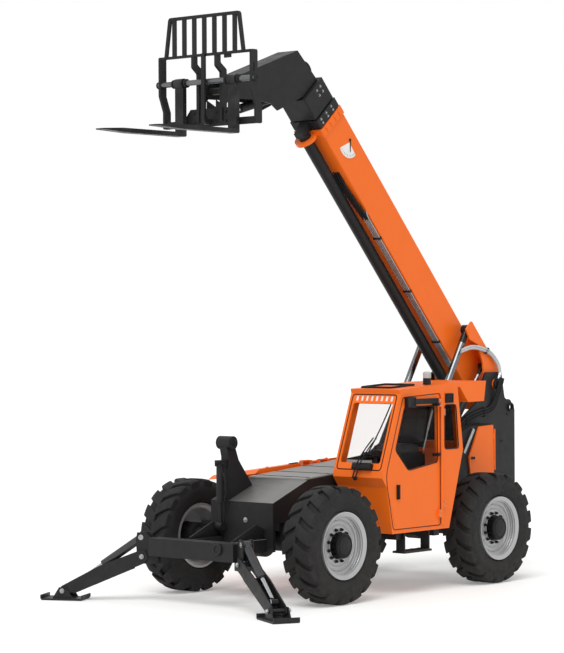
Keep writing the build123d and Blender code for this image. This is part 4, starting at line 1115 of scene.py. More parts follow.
@dataclass
class CabDress:
    """Seals, handles, wiper, vent, slot panes and roof rail of the cab."""

    outside: float = 1.220
    inside: float = 0.500
    screen_foot: tuple[float, float] = (0.720, 1.435)
    screen_top: tuple[float, float] = (0.400, 2.300)
    roof_slots: int = 8
    slot_pitch: float = 0.072

    def dress(self) -> None:
        """Adds the cab's small parts."""
        self.seals()
        self.door_parts()
        self.wiper()
        self.roof_parts()
        self.rear_parts()

    @property
    def screen_lean(self) -> Matrix:
        """Turn that lays a block's X face along the windscreen."""
        (x0, z0), (x1, z1) = self.screen_foot, self.screen_top
        return Matrix.Rotation(-math.atan2(x0 - x1, z1 - z0), 3, "Y")

    def on_screen(self, share: float, y: float, lift: float = 0.0) -> Vector:
        """Finds a point on the windscreen.

        Args:
            share: 0 at its foot and 1 at its top.
            y: Metres to the cab side.
            lift: Metres out from the pane.

        Returns:
            The point in the row frame.
        """
        (x0, z0), (x1, z1) = self.screen_foot, self.screen_top
        length = math.hypot(x1 - x0, z1 - z0)
        out = ((z1 - z0) / length, (x0 - x1) / length)
        return machine(x0 + (x1 - x0) * share + out[0] * lift, y, z0 + (z1 - z0) * share + out[1] * lift)

    def seals(self) -> None:
        """Lays the rubber seals of the windows and of the door's edge."""
        door = [(0.322, 2.150), (0.490, 1.665), (0.255, 1.425), (-0.285, 1.497), (-0.285, 2.150)]
        quarter = [(-0.425, 2.150), (-0.425, 1.640), (-0.690, 1.640), (-0.640, 2.150)]
        right = [(0.300, 2.180), (0.560, 1.460), (0.250, 1.380), (-0.640, 1.500), (-0.600, 2.180)]
        for name, body, outline, y in (("door_window_seal", "door", door, self.outside),
                                       ("quarter_window_seal", "chassis", quarter, self.outside),
                                       ("right_window_seal", "chassis", right, self.inside)):
            seal(name, body, [machine(x, y, z) for x, z in outline])
        edge = [(0.350, 2.258), (0.643, 1.440), (0.653, 1.360), (0.639, 1.250), (0.536, 0.767),
                (-0.337, 0.767), (-0.337, 2.288)]
        seal("door_edge_seal", "chassis", [machine(x, self.outside - 0.001, z) for x, z in edge], 0.0055)
        middle = (self.outside + self.inside) / 2
        box = [self.on_screen(share, middle + y)
               for share, y in ((0.012, -0.322), (0.012, 0.322), (0.985, 0.322), (0.985, -0.322))]
        seal("windscreen_seal", "chassis", box)

    def door_parts(self) -> None:
        """Adds the top bar, the pull, the catches, the strut and the hinge bolts of the door."""
        bar = Shop.block((0.60, 0.030, 0.062), machine(0.02, self.outside + 0.0155, 2.205))
        Shop.sink((0, 1, 0), 0.010, 0.006)
        drum = Shop.block((0.155, 0.052, 0.120), machine(0.245, self.outside + 0.0265, 2.200))
        Shop.sink((0, 1, 0), 0.014, 0.008)
        Shop.settle(Shop.join([bar, drum]), "door_top_bar", "door", PLASTIC, 0.005)
        pull = Shop.block((0.050, 0.018, 0.165), machine(0.450, self.outside + 0.0085, 1.190))
        Shop.sink((0, 1, 0), 0.009, 0.012)
        lever = Shop.block((0.016, 0.014, 0.120), machine(0.450, self.outside + 0.013, 1.190))
        Shop.sink((0, 1, 0), 0.003, -0.003)
        Shop.settle(Shop.join([pull, lever]), "door_pull", "door", PLASTIC, 0.003)
        catches = []
        for z in (1.585, 2.165):
            catch = Shop.block((0.130, 0.026, 0.036), machine(-0.255, self.outside + 0.0135, z))
            Shop.sink((0, 1, 0), 0.007, 0.005)
            grip = Shop.turned([(0.011, 0.0), (0.011, 0.020), (0.017, 0.026), (0.019, 0.040),
                                (0.013, 0.048)], 24)
            Shop.aim(grip, machine(-0.235, self.outside + 0.024, z), (0, 1, 0))
            catches += [catch, grip]
        Shop.settle(Shop.join(catches), "door_catch", "door", PLASTIC, 0.003)
        top, foot = machine(-0.262, 1.165, 2.095), machine(-0.089, 1.165, 1.640)
        rod = Shop.turned([(0.007, 0.0), (0.007, 0.24), (0.012, 0.245), (0.012, (foot - top).length)], 20)
        Shop.aim(rod, foot, top - foot)
        Shop.settle(rod, "door_strut", "door", STEEL)
        Shop.bolts("door_hinge_bolts", "door", [(machine(-0.300, self.outside + 0.0255, z + dz), (0, 1, 0))
                                                for z in (0.900, 2.180) for dz in (-0.028, 0.028)], 0.009)

    def wiper(self) -> None:
        """Adds the wiper with its two arms and the motor cover under the windscreen."""
        foot = self.on_screen(-0.10, 0.84, 0.020)
        tip = self.on_screen(0.42, 1.02, 0.020)
        spindle = Shop.turned([(0.026, 0.0), (0.026, 0.012), (0.018, 0.020), (0.014, 0.034),
                               (0.008, 0.036)], 24)
        out = self.on_screen(0.5, 0.8, 0.1) - self.on_screen(0.5, 0.8, 0.0)
        Shop.aim(spindle, foot - out * 0.28, out)
        Shop.settle(spindle, "wiper_spindle", "chassis", PLASTIC)
        for k, aside in enumerate((-0.022, 0.022)):
            root = foot + Vector((0, aside, 0))
            end = tip + Vector((0, aside, 0))
            Shop.pipe(f"wiper_arm_{k}", "chassis", PLASTIC,
                      [root, root.lerp(end, 0.3) + out * 0.55, root.lerp(end, 0.7) + out * 0.45,
                       end + out * 0.05], 0.008)
        Shop.pipe("wiper_blade", "chassis", HOSE,
                  [self.on_screen(0.13, 0.92, 0.012), self.on_screen(0.45, 1.05, 0.014),
                   self.on_screen(0.86, 1.13, 0.012)], 0.008)
        cover = Shop.block((0.060, 0.270, 0.075), self.on_screen(0.045, 0.93, 0.026), self.screen_lean)
        Shop.sink((1, 0, 0), 0.012, -0.008)
        Shop.settle(cover, "wiper_motor_cover", "chassis", PLASTIC, 0.006, 3)

    def roof_parts(self) -> None:
        """Adds the pale panes behind the roof's slots, painted with the sky's light seen through them, and
        the rail on the roof.
        """
        middle = (self.outside + self.inside) / 2
        panes = []
        for k in range(self.roof_slots):
            aside = (k - (self.roof_slots - 1) / 2) * self.slot_pitch
            pane = Shop.block((0.006, 0.037, 0.065), self.on_screen(0.938, middle + aside, -0.012),
                              self.screen_lean)
            Shop.sink((1, 0, 0), 0.004, 0.001)
            panes.append(pane)
        # Painted light: the pale panes stand for the bright sky seen through the slots
        Shop.settle(Shop.join(panes), "roof_slot_panes", "chassis", SKY_LIT_PANE, 0.001)
        rail = [(0.300, 0.560, 2.366), (0.300, 1.000, 2.366), (-0.150, 1.000, 2.389), (-0.150, 0.560, 2.389)]
        seal("roof_rail", "chassis", [machine(*corner) for corner in rail], 0.012)

    def rear_parts(self) -> None:
        """Adds the vent and the hinge bolts on the cab's side."""
        vent = Shop.block((0.140, 0.020, 0.110), machine(-0.505, self.outside + 0.0095, 2.228))
        Shop.sink((0, 1, 0), 0.012, 0.010)
        slats = [vent]
        for k in range(5):
            slats.append(Shop.block((0.112, 0.006, 0.012),
                                    machine(-0.505, self.outside + 0.013, 2.193 + k * 0.0175),
                                    Matrix.Rotation(math.radians(35), 3, "X")))
        Shop.settle(Shop.join(slats), "cab_side_vent", "chassis", PLASTIC, 0.002)
        Shop.bolts("cab_hinge_bolts", "chassis", [(machine(-0.372, self.outside + 0.0355, z + dz), (0, 1, 0))
                                                  for z in (1.010, 2.070) for dz in (-0.024, 0.024)], 0.008)


@dataclass
class TyreDress:
    """Rounded carcass and bar lugs of the tyres, in place of the faceted solids."""

    half_base: float = 1.44
    half_track: float = 1.078
    axle_z: float = 0.655
    bead: float = 0.3456
    tip: float = 0.655
    half_width: float = 0.195
    lugs: int = 18
    lug_width: float = 0.158
    lug_length: float = 0.201
    lug_skew: float = 0.125
    lug_root: float = 0.560
    shoulder: float = 0.189
    shoulder_fall: float = 0.020

    def dress(self) -> None:
        """Models one tyre and copies it to the four wheels."""
        parts = [self.carcass()]
        for sign in (1, -1):
            parts += self.bars(sign)
        master = Shop.join(parts)
        for corner in Corner:
            tag, fore, hand = corner.value
            tyre = master.copy()
            tyre.data = master.data.copy()
            bpy.context.collection.objects.link(tyre)
            turn = Matrix.Rotation(0.0 if hand > 0 else math.pi, 4, "Z")
            tyre.matrix_world = Matrix.Translation(machine(fore * self.half_base, hand * self.half_track,
                                                           self.axle_z)) @ turn
            Shop.settle(tyre, f"lugged_tyre_{tag}", f"wheel_{tag}", RUBBER)
            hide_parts(f"tyre_{tag}")
        Shop.pick(master)
        bpy.ops.object.delete()

    def carcass(self) -> bpy.types.Object:
        """Draws a ring round the section of the carcass.

        Returns:
            The carcass about the Y axis at the origin.
        """
        half = [(self.bead, 0.150), (0.382, 0.150), (0.388, 0.158), (0.391, 0.171), (0.398, 0.173),
                (0.420, 0.179), (0.424, 0.183), (0.434, 0.184), (0.465, 0.190), (0.500, 0.1945),
                (0.528, self.half_width), (0.560, 0.191), (0.588, 0.181), (0.606, 0.168), (0.616, 0.150),
                (0.6195, 0.090), (0.620, 0.0)]
        steps = [(r, -a) for r, a in half] + [(r, a) for r, a in reversed(half[:-1])]
        ring = Shop.hoop(steps, 108)
        ring.matrix_world = Matrix.Rotation(-math.pi / 2, 4, "X")
        return ring

    def bars(self, sign: int) -> list[bpy.types.Object]:
        """Models one slanted bar lug and copies it round one side of the tread.

        Args:
            sign: 1 for the outer side and -1 for the inner one.

        Returns:
            The copies about the Y axis.
        """
        long, deep = self.lug_length, self.tip - self.lug_root
        lug = Shop.block((self.lug_width, long, deep))
        bpy.ops.object.transform_apply(location=True, rotation=True, scale=True)
        bpy.ops.object.mode_set(mode="EDIT")
        bpy.ops.mesh.select_all(action="SELECT")
        bpy.ops.mesh.subdivide(number_cuts=5)
        bpy.ops.object.mode_set(mode="OBJECT")
        for point in lug.data.vertices:
            across, along, height = point.co
            inward = min(1.0, max(0.0, (long / 2 - along) / long))
            rise = height / deep + 0.5
            width = across * (1.06 - 0.12 * rise)
            fall = self.shoulder_fall * rise * max(0.0, 1.0 - inward / 0.3) ** 2
            angle = (width + self.lug_skew * inward ** 1.15) / self.tip
            radius = self.lug_root + deep * rise - fall
            point.co = (radius * math.sin(angle), sign * (self.shoulder - long * inward),
                        -radius * math.cos(angle))
        bpy.ops.object.mode_set(mode="EDIT")
        bpy.ops.mesh.select_all(action="SELECT")
        bpy.ops.mesh.normals_make_consistent(inside=False)
        bpy.ops.object.mode_set(mode="OBJECT")
        Shop.modify(lug, "BEVEL", width=0.007, segments=2, limit_method="ANGLE",
                    angle_limit=math.radians(40))
        made = []
        for k in range(self.lugs):
            twin = lug.copy()
            twin.data = lug.data.copy()
            bpy.context.collection.objects.link(twin)
            step = k if sign > 0 else k + 0.5
            twin.matrix_world = Matrix.Rotation(-math.tau * step / self.lugs, 4, "Y")
            made.append(twin)
        Shop.pick(lug)
        bpy.ops.object.delete()
        return made


@dataclass
class SeatDress:
    """Padded seat and back of the operator's seat with the pan and shell that carry them."""

    middle: float = 0.860
    width: float = 0.430
    voxel: float = 0.006
    quick_voxel: float = 0.016
    swell: float = 0.024
    pressure: float = 4.0
    frames: int = 20
    channel: float = 0.010

    def dress(self) -> None:
        """Builds the pads and the parts that carry them."""
        flat = Matrix.Identity(3)
        lean = Matrix.Rotation(math.radians(-13.2), 3, "Y")
        base = self.pad("seat_cushion", (0.405, self.width, 0.080), machine(0.030, self.middle, 1.652), flat,
                        (0, 0, 1), (-0.09, 0.09))
        back = self.pad("seat_back", (0.080, self.width, 0.450), machine(-0.250, self.middle, 1.925), lean,
                        (1, 0, 0), (-0.12, 0.06))
        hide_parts("seat")
        pan = Shop.block((0.44, 0.39, 0.030), machine(0.005, self.middle, 1.6055))
        Shop.sink((0, 0, 1), 0.02, 0.008)
        shell = Shop.block((0.026, 0.40, 0.500), machine(-0.306, self.middle, 1.905), lean)
        Shop.sink((-1, 0, 0), 0.03, 0.006)
        Shop.settle(Shop.join([pan, shell]), "seat_shell", "chassis", PLASTIC, 0.010, 3)
        log.info("padded %s and %s", base.name, back.name)

    def pad(self, name: str, size: Sequence[float], place: Vector, turn: Matrix, front: Sequence[float],
            channels: Sequence[float]) -> bpy.types.Object:
        """Makes one stuffed pad that swells under its own pressure.

        Args:
            name: Name of the piece.
            size: Its size before it swells.
            place: Its centre in the row frame.
            turn: Its lean.
            front: The side that is sat on, in the pad's own frame.
            channels: Places of the sewn channels across the pad.

        Returns:
            The finished pad.
        """
        pad = Shop.block([side * 0.94 for side in size])
        Shop.modify(pad, "BEVEL", width=0.022, segments=3, limit_method="ANGLE", angle_limit=BEVEL_ANGLE)
        Shop.modify(pad, "REMESH", mode="VOXEL",
                    voxel_size=self.voxel)
        self.inflate(pad, Vector(front))
        run = 0 if front[2] else 2
        for point in pad.data.vertices:
            if point.normal.dot(Vector(front)) > 0.3:
                for channel in channels:
                    gap = point.co[run] - channel
                    point.co -= Vector(front) * self.channel * math.exp(-(gap / self.channel) ** 2)
        Shop.modify(pad, "SUBSURF", levels=1, render_levels=1)
        pad.matrix_world = Matrix.Translation(place) @ turn.to_4x4()
        Shop.settle(pad, name, "chassis", VINYL)
        return pad

    def inflate(self, pad: bpy.types.Object, front: Vector) -> None:
        """Blows the pad up as cloth, holding the side that it rests on.

        Args:
            pad: The remeshed pad at the origin.
            front: The side that is sat on.
        """
        Shop.pick(pad)
        rest = pad.vertex_groups.new(name="rest")
        rest.add([v.index for v in pad.data.vertices if v.normal.dot(front) < -0.7], 1.0, "REPLACE")
        start = [v.co.copy() for v in pad.data.vertices]
        cloth = pad.modifiers.new("cloth", "CLOTH")
        cloth.settings.use_pressure = True
        cloth.settings.uniform_pressure_force = self.pressure
        cloth.settings.effector_weights.gravity = 0.0
        cloth.settings.vertex_group_mass = "rest"
        scene = bpy.context.scene
        for number in range(1, self.frames + 1):
            scene.frame_set(number)
        swollen = pad.evaluated_get(bpy.context.evaluated_depsgraph_get()).to_mesh()
        ends = [v.co.copy() for v in swollen.vertices]
        pad.modifiers.remove(cloth)
        scene.frame_set(1)
        for point, old, new in zip(pad.data.vertices, start, ends):
            move = new - old
            reach = move.length
            point.co = old + (move * (self.swell / reach) if reach > self.swell else move)


@dataclass
class ChassisDress:
    """Small parts of the frame: roller tower, beam boss, deck, hood, step grips, latch and hoses."""

    plate_out: float = 0.430
    tank_out: float = 0.640
    deck_rear: tuple[float, float] = (-0.45, 1.466)
    deck_slope: float = 0.075
    hood_front: Point = (0.930, -0.455, 1.412)
    hood_slope: tuple[float, float] = (0.051, 0.1342)

    def dress(self) -> None:
        """Adds the frame's small parts."""
        self.tower()
        self.front_parts()
        self.deck_parts()
        self.left_side()
        self.hood_parts()
        self.steps()
        self.rear_parts()

    def tower(self) -> None:
        """Adds the roller's keepers, the bolts, the bent line and the sway pins of the boom rest."""
        sides = [(machine(1.700, y, 1.758), (0, s, 0)) for y, s in ((-0.160, 1), (-0.360, -1))]
        caps = Shop.copies(pin_washer(0.034), sides)
        Shop.settle(caps, "roller_pins", "chassis", IRON)
        Shop.bolts("tower_bolts", "chassis", [(machine(1.7355, y, z), (1, 0, 0)) for y in (-0.235, -0.285)
                                              for z in (1.20, 1.30)], 0.012, IRON)
        Shop.pipe("sway_line", "chassis", HOSE,
                  [machine(1.815, -0.215, 1.42), machine(1.830, -0.175, 1.36), machine(1.800, -0.165, 1.22),
                   machine(1.800, -0.190, 1.12), machine(1.775, -0.215, 1.06), machine(1.790, -0.225, 0.95),
                   machine(1.790, -0.230, 0.86)], 0.012)
        eye = Shop.copies(pin_head(0.018), [(machine(1.815, -0.219, 1.525), (0, 1, 0)),
                                            (machine(1.861, -0.260, 1.530), (1, 0, 0))])
        Shop.settle(eye, "sway_pin", "chassis", IRON)

    def front_parts(self) -> None:
        """Adds the washer on the front box, the boss on the beam and the ribs between them."""
        washer = Shop.turned([(0.030, -0.001), (0.030, 0.005), (0.016, 0.006), (0.016, 0.016),
                              (0.012, 0.018)], 28)
        Shop.settle(Shop.copies(washer, [(machine(1.7405, 0.059, 0.902), (1, 0, 0))]),
                    "axle_pin_washer", "chassis", STEEL)
        boss = Shop.turned([(0.064, -0.001), (0.064, 0.020), (0.056, 0.026), (0.040, 0.027),
                            (0.036, 0.018)], 32)
        Shop.settle(Shop.copies(boss, [(machine(2.5905, 0.417, 0.652), (1, 0, 0))]),
                    "beam_boss", "chassis", CHARCOAL)
        ribs = []
        for y in (0.33, -0.33):
            rib = Shop.block((0.500, 0.024, 0.172), machine(1.9910, y, 0.7865))
            bpy.ops.object.mode_set(mode="EDIT")
            for corner, way in (((-0.115, 0, 0.086), (-0.46, 0, 1)), ((-0.115, 0, 0.086), (0.41, 0, 1))):
                bpy.ops.mesh.select_all(action="SELECT")
                spot = rib.matrix_world @ Vector(corner)
                bpy.ops.mesh.bisect(plane_co=tuple(spot), plane_no=way, clear_outer=True, use_fill=True)
            bpy.ops.object.mode_set(mode="OBJECT")
            ribs.append(rib)
        Shop.settle(Shop.join(ribs), "arm_ribs", "chassis", CHARCOAL, 0.003)

    def on_deck(self, x: float, y: float, lift: float) -> Vector:
        """Finds a point on the deck, which falls forwards.

        Args:
            x: Metres forwards.
            y: Metres to the cab side.
            lift: Metres above the deck.

        Returns:
            The point in the row frame.
        """
        rear, height = self.deck_rear
        return machine(x, y, height - (x - rear) * self.deck_slope + lift)

    def deck_parts(self) -> None:
        """Adds the raised seams and the screws of the deck."""
        ribs = []
        for x in (0.20, 0.70, 1.05):
            ribs.append(Shop.block((0.008, 0.840, 0.004), self.on_deck(x, 0.0, 0.0015)))
            Shop.sink((0, 0, 1), 0.002, -0.001)
        Shop.settle(Shop.join(ribs), "deck_seams", "chassis", PLASTIC)
        screws = [(self.on_deck(x, y, 0.0005), (self.deck_slope, 0, 1))
                  for x in (0.14, 0.26, 0.64, 0.76, 1.00) for y in (-0.34, 0.34)]
        Shop.bolts("deck_screws", "chassis", screws, 0.008)

    def left_side(self) -> None:
        """Adds the panel latch, the bright side strip, the frame's plugs and the boom's pivot caps."""
        latch = Shop.block((0.060, 0.014, 0.032), machine(-1.715, self.tank_out + 0.026, 1.455))
        Shop.sink((0, 1, 0), 0.006, 0.005)
        Shop.settle(latch, "panel_latch", "panel", PLASTIC, 0.003)
        top = machine(-1.756, self.tank_out + 0.006, 1.805)
        foot = machine(-1.556, self.tank_out + 0.006, 1.522)
        slope = math.atan2(foot.z - top.z, foot.x - top.x)
        strip = Shop.block(((foot - top).length, 0.012, 0.040), (top + foot) / 2,
                           Matrix.Rotation(-slope, 3, "Y"))
        Shop.sink((0, 1, 0), 0.008, 0.003)
        Shop.settle(strip, "side_strip", "chassis", STEEL, 0.002)
        plugs = Shop.turned([(0.020, -0.001), (0.020, 0.004), (0.015, 0.007), (0.008, 0.005)], 24)
        spots = [(machine(x, hand * (self.plate_out + 0.0002), z), (0, hand, 0)) for hand in (1, -1)
                 for x, z in ((-2.62, 1.62), (-2.62, 1.20), (-2.74, 1.95))]
        Shop.settle(Shop.copies(plugs, spots), "frame_plugs", "chassis", IRON)
        pins = Shop.copies(pin_head(0.050), [(machine(-2.480, hand * 0.450, 2.330), (0, hand, 0))
                                             for hand in (1, -1)])
        Shop.settle(pins, "boom_pivot_caps", "boom", IRON)

    def on_hood(self, x: float, y: float) -> Vector:
        """Finds a point on the hood's top, which falls forwards and outwards.

        Args:
            x: Metres forwards.
            y: Metres to the cab side.

        Returns:
            The point in the row frame.
        """
        x0, y0, z0 = self.hood_front
        return machine(x, y, z0 + (x0 - x) * self.hood_slope[0] + (y - y0) * self.hood_slope[1])

    def hood_parts(self) -> None:
        """Adds the hood's grille, handle, filler and buffers, and the engine bay's louvres."""
        slats = []
        for k in range(3):
            slat = Shop.block((0.420, 0.010, 0.014), machine(0.06, -1.2045, 1.246 + k * 0.022),
                              Matrix.Rotation(math.radians(28), 3, "X"))
            Shop.sink((0, -1, 0), 0.003, 0.002)
            slats.append(slat)
        edge = Shop.block((0.470, 0.012, 0.084), machine(0.06, -1.2005, 1.268))
        Shop.sink((0, -1, 0), 0.010, 0.005)
        Shop.settle(Shop.join([edge] + slats), "hood_grille", "hood", PLASTIC, 0.002)
        grip = Shop.block((0.150, 0.024, 0.030), machine(-0.33, -1.2085, 1.270))
        Shop.sink((0, -1, 0), 0.007, 0.006)
        Shop.settle(grip, "hood_handle", "hood", PLASTIC, 0.005, 3)
        up = (0.051, -0.134, 1.0)
        dish = Shop.turned([(0.060, -0.004), (0.060, 0.010), (0.050, 0.014), (0.042, 0.006)], 32)
        Shop.settle(Shop.copies(dish, [(self.on_hood(0.20, -0.56), up)]), "hood_filler", "hood", PLASTIC)
        nub = Shop.turned([(0.020, -0.003), (0.020, 0.008), (0.016, 0.015), (0.008, 0.016)], 24)
        stops = [(self.on_hood(x, y), up) for x, y in ((0.72, -0.52), (0.80, -1.00), (-0.40, -0.56))]
        Shop.settle(Shop.copies(nub, stops), "hood_buffers", "hood", ORANGE)
        vents = []
        for k in range(6):
            vent = Shop.block((0.012, 0.46, 0.030), machine(-0.6045, -0.82, 0.78 + k * 0.055),
                              Matrix.Rotation(math.radians(-30), 3, "Y"))
            Shop.sink((-1, 0, 0), 0.004, 0.002)
            vents.append(vent)
        Shop.settle(Shop.join(vents), "bay_louvres", "chassis", PLASTIC, 0.002)

    def steps(self) -> None:
        """Adds the raised grips on the cab's step."""
        tooth = Shop.turned([(0.020, 0.0), (0.018, 0.006), (0.012, 0.007), (0.010, 0.001)], 16)
        spots = [(machine(x, y, 0.5035), (0, 0, 1)) for x in (-0.13, 0.0, 0.13, 0.26)
                 for y in (1.06, 1.12, 1.18)]
        Shop.settle(Shop.copies(tooth, spots), "step_grips", "chassis", CHARCOAL)

    def rear_parts(self) -> None:
        """Adds the hoses that run over the frame to the boom's foot.

        Each point of the route has its place and the way, along X and Z, in which the hoses lie side by side.
        """
        route = [(-2.530, 0.503, 2.405, 1.0, 0.2), (-2.490, 0.503, 2.300, 1.0, 0.1),
                 (-2.475, 0.470, 2.194, 1.0, 0.0), (-2.440, 0.449, 2.060, 0.8, 0.6),
                 (-2.328, 0.447, 2.000, 0.2, 1.0), (-2.142, 0.447, 1.985, 0.0, 1.0),
                 (-1.937, 0.447, 1.930, 0.3, 1.0), (-1.794, 0.447, 1.850, 0.5, 0.9),
                 (-1.690, 0.447, 1.760, 0.6, 0.8)]
        for k in range(3):
            shift = 0.032 * (k - 1)
            Shop.pipe(f"frame_hose_{k}", "chassis", HOSE,
                      [machine(x + nx * shift, y, z + nz * shift) for x, y, z, nx, nz in route], 0.014)
        clips = []
        for x, z in ((-2.235, 1.991), (-1.870, 1.895)):
            clip = Shop.block((0.030, 0.036, 0.116), machine(x, 0.446, z))
            Shop.sink((0, 1, 0), 0.008, 0.004)
            clips.append(clip)
        Shop.settle(Shop.join(clips), "frame_hose_clips", "chassis", PLASTIC, 0.003)


@dataclass
class CarriageDress:
    """Pins, collars, bolts and fork stop of the carriage."""

    back: float = 2.1985
    shaft_z: float = 5.795
    post: float = 0.690

    def dress(self) -> None:
        """Adds the carriage's small parts."""
        shaft = machine(self.back + 0.085, 0.0, self.shaft_z)
        collars = []
        for y in (0.305, 0.492, -0.305, -0.492):
            collar = Shop.turned([(0.050, -0.011), (0.050, 0.011), (0.040, 0.013)], 32)
            Shop.aim(collar, shaft + Vector((0, y, 0)), (0, 1, 0))
            collars.append(collar)
        Shop.settle(Shop.join(collars), "shaft_collars", "fork_carriage", IRON, 0.002)
        caps = Shop.turned([(0.040, -0.001), (0.040, 0.008), (0.036, 0.012), (0.012, 0.012),
                            (0.010, 0.008)], 32)
        Shop.settle(Shop.copies(caps, [(shaft + Vector((0, s * (self.post + 0.043), 0)), (0, s, 0))
                                       for s in (1, -1)]), "shaft_caps", "fork_carriage", IRON)
        nose = machine(2.0785, 0.0, 5.701)
        pins = Shop.copies(pin_head(0.040), [(nose + Vector((0, s * 0.190, 0)), (0, s, 0)) for s in (1, -1)])
        Shop.settle(pins, "nose_pin_caps", "boom_four", IRON)
        bolts = [(machine(self.back + 0.0305, y, self.shaft_z - 0.440 + dz), (1, 0, 0))
                 for y in (-0.24, -0.10, 0.10, 0.24) for dz in (0.0, 0.10)]
        Shop.bolts("sill_bolts", "fork_carriage", bolts, 0.013, IRON)
        tab = Shop.block((0.018, 0.100, 0.040), machine(self.back + 0.114, 0.345, 6.056))
        Shop.sink((1, 0, 0), 0.010, 0.004)
        Shop.settle(tab, "fork_stop", "fork_carriage", CHARCOAL, 0.003)


@dataclass
class StabiliserDress:
    """Pin heads, keepers and foot lips of one stabiliser."""

    hand: int
    flank: str
    pivot: Point = (2.525, 0.770, 0.506)
    splay: float = 27.0
    length: float = 1.015
    foot_pin: float = 0.105
    base_pin: tuple[float, float] = (0.017, 0.214)

    def at(self, out: float, up: float, across: float) -> Vector:
        """Finds a point in the leg's upright plane.

        Args:
            out: Metres outwards from the pivot.
            up: Metres above the pivot.
            across: Metres along the pins.

        Returns:
            The point in the row frame.
        """
        x, y, z = self.pivot
        return machine(x, self.hand * y, z) + self.along() * out + Vector((0, 0, up)) + self.across() * across

    def along(self) -> Vector:
        """Direction of the leg on the ground, outwards."""
        lean = math.radians(self.splay)
        return Vector((math.sin(lean), self.hand * math.cos(lean), 0))

    def across(self) -> Vector:
        """Direction of the leg's pins, forwards."""
        lean = math.radians(self.splay)
        return Vector((math.cos(lean), -self.hand * math.sin(lean), 0))

    def dress(self) -> None:
        """Adds the stabiliser's small parts."""
        drop = math.asin((self.pivot[2] - self.foot_pin) / self.length)
        foot_out = self.length * math.cos(drop)
        foot_up = self.foot_pin - self.pivot[2]
        pin = pin_head(0.022)
        spots = [(self.at(0, 0, s * 0.095), self.across() * s) for s in (1, -1)]
        Shop.settle(Shop.copies(pin, spots), f"beam_pins_{self.flank}", "chassis", STEEL)
        keepers = [(self.at(*self.base_pin, s * 0.066), self.across() * s) for s in (1, -1)]
        Shop.settle(Shop.copies(pin_washer(0.030), keepers), f"base_pins_{self.flank}", "chassis", STEEL)
        ends = [(self.at(foot_out, foot_up, s * 0.120), self.across() * s) for s in (1, -1)]
        Shop.settle(Shop.copies(pin_head(0.022), ends), f"foot_pins_{self.flank}",
                    f"leg_{self.flank}_arm", STEEL)
        up = Vector((0, 0, 1))
        turn = Matrix((self.along(), up.cross(self.along()), up)).transposed()
        lips = []
        for end in (1, -1):
            lip = Shop.block((0.014, 0.296, 0.040),
                             self.at(foot_out + end * 0.243, 0.040 - self.pivot[2], 0.0), turn)
            Shop.sink((end, 0, 0), 0.012, 0.003)
            lips.append(lip)
        Shop.settle(Shop.join(lips), f"foot_lips_{self.flank}", f"leg_{self.flank}_arm", CHARCOAL, 0.004)


class Painter:
    """Gives every CAD node its finish."""

    GROUPS: dict[Finish, tuple[str, ...]] = {
        ORANGE: ("boom_outer", "cab_body", "cab_roof", "cab_door", "engine_hood", "side_panel", "engine_bay"),
        CHARCOAL: ("frame_left", "frame_right", "frame_fittings", "boom_rest", "counterweight",
                   "outrigger_beam", "boom_second", "boom_third", "boom_fly", "carriage", "leg_left",
                   "leg_right", "foot_left", "foot_right", "lift_barrels", "slave_barrel", "tilt_barrel",
                   "extend_barrel", "sway_cylinder", "step"),
        BARREL: ("leg_barrel_left", "leg_barrel_right"),
        DECK: ("deck",),
        FRONT_BOX: ("front_frame",),
        CHROME: ("extend_rod", "tilt_rod"),
        LEG_ROD: ("leg_rod_left", "leg_rod_right"),
        LIFT_ROD: ("lift_rods",),
        SLAVE_ROD: ("slave_rod",),
        IRON: ("front_axle", "rear_axle", "engine", "knuckle_front_left", "knuckle_front_right",
               "knuckle_rear_left", "knuckle_rear_right"),
        GLASS: ("cab_glass",),
        DOOR_GLASS: ("door_glass",),
        VINYL: ("seat",),
        PLASTIC: ("cab_controls", "tank"),
        BEACON: ("beacon",),
        FORK: ("forks",),
        SHAFT: ("fork_shaft",),
        RIM: ("rim_front_left", "rim_front_right", "rim_rear_left", "rim_rear_right"),
        RUBBER: ("tyre_front_left", "tyre_front_right", "tyre_rear_left", "tyre_rear_right"),
    }

    def paint(self) -> None:
        """Sets the material slots of the CAD nodes."""
        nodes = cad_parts
        for finish, names in self.GROUPS.items():
            for name in names:
                for slot in nodes[name].material_slots:
                    slot.material = finish.material()
            log.info("painted %s: %s", finish.name, ", ".join(names))


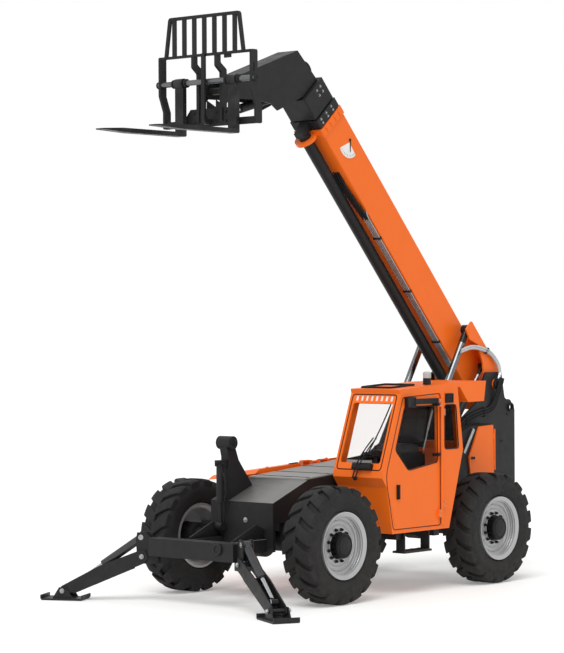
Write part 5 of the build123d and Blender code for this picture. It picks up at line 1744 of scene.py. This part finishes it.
@dataclass
class Studio:
    """Pale floor, soft light and the camera at the photograph's angle."""

    floor: str = "#F4F4F2"
    focal: float = 2478.75
    centre: tuple[float, float] = (286.83, 317.85)
    image: tuple[int, int] = (564, 653)
    eye: Point = (22.4224, 18.7336, 3.2177)
    yaw: float = -2.4242
    pitch: float = -0.0017
    roll: float = -0.0049
    sky: float = 0.6
    sun: float = 1.65
    sun_spread: float = 38.0
    sensor: float = 36.0
    floor_size: float = 160.0

    def build(self) -> None:
        """Sets up the floor, light and camera."""
        self.lay_floor()
        self.light()
        self.place_camera()

    def lay_floor(self) -> None:
        """Lays a wide pale floor under the wheels."""
        bpy.ops.mesh.primitive_plane_add(size=self.floor_size, location=(0, 0, -0.001))
        floor = bpy.context.active_object
        floor.name = "floor"
        finish = FloorFinish("floor_paint", self.floor, "#EFEFED", 0.75, 0.05, patch=900.0, wear=0.3,
                             grain=8.0, relief=0.01)
        floor.data.materials.append(finish.material())

    def light(self) -> None:
        """Adds a white sky and a wide soft key from above the front."""
        world = bpy.data.worlds.new("studio_sky")
        bpy.context.scene.world = world
        world.use_nodes = True
        graph = Graph(world.node_tree)
        strength = graph.add("MapRange", {"Value": background_rays(graph), "To Min": self.sky, "To Max": 1.0})
        graph.fill(world.node_tree.nodes["Background"],
                   {"Color": (1.0, 1.0, 1.0, 1.0), "Strength": strength.outputs[0]})
        bpy.ops.object.light_add(type="SUN", location=(8.0, 10.0, 14.0))
        sun = bpy.context.active_object
        sun.name = "key_light"
        sun.data.energy = self.sun
        sun.data.angle = math.radians(self.sun_spread)
        sun.rotation_euler = Vector((-0.62, -0.38, -1.0)).to_track_quat("-Z", "Y").to_euler()
        bpy.context.scene.view_settings.view_transform = "Standard"

    def place_camera(self) -> None:
        """Sets the camera where the photograph was taken from."""
        ahead = Vector((math.cos(self.yaw) * math.cos(self.pitch), math.sin(self.yaw) * math.cos(self.pitch),
                        math.sin(self.pitch)))
        right = ahead.cross(Vector((0, 0, 1))).normalized()
        up = right.cross(ahead)
        level = right * math.cos(self.roll) + up * math.sin(self.roll)
        upright = level.cross(ahead)
        turn = Matrix((level, upright, -ahead)).transposed().to_4x4()
        bpy.ops.object.camera_add()
        camera = bpy.context.active_object
        camera.name = "photo_camera"
        camera.matrix_world = Matrix.Translation(machine(*self.eye)) @ turn
        long_side = max(self.image)
        camera.data.sensor_width = self.sensor
        camera.data.lens = self.sensor * self.focal / long_side
        camera.data.shift_x = (self.image[0] / 2 - self.centre[0]) / long_side
        camera.data.shift_y = (self.centre[1] - self.image[1] / 2) / long_side
        camera.data.clip_end = 400.0
        bpy.context.scene.camera = camera


def main() -> None:
    """Builds the looks and the studio."""
    Painter().paint()
    for corner in Corner:
        WheelDress(corner).dress()
    TyreDress().dress()
    BoomDress().dress()
    CabDress().dress()
    SeatDress().dress()
    ChassisDress().dress()
    CarriageDress().dress()
    for hand, flank in ((1, "left"), (-1, "right")):
        StabiliserDress(hand, flank).dress()
    Studio().build()


if __name__ == "__main__":
    main()
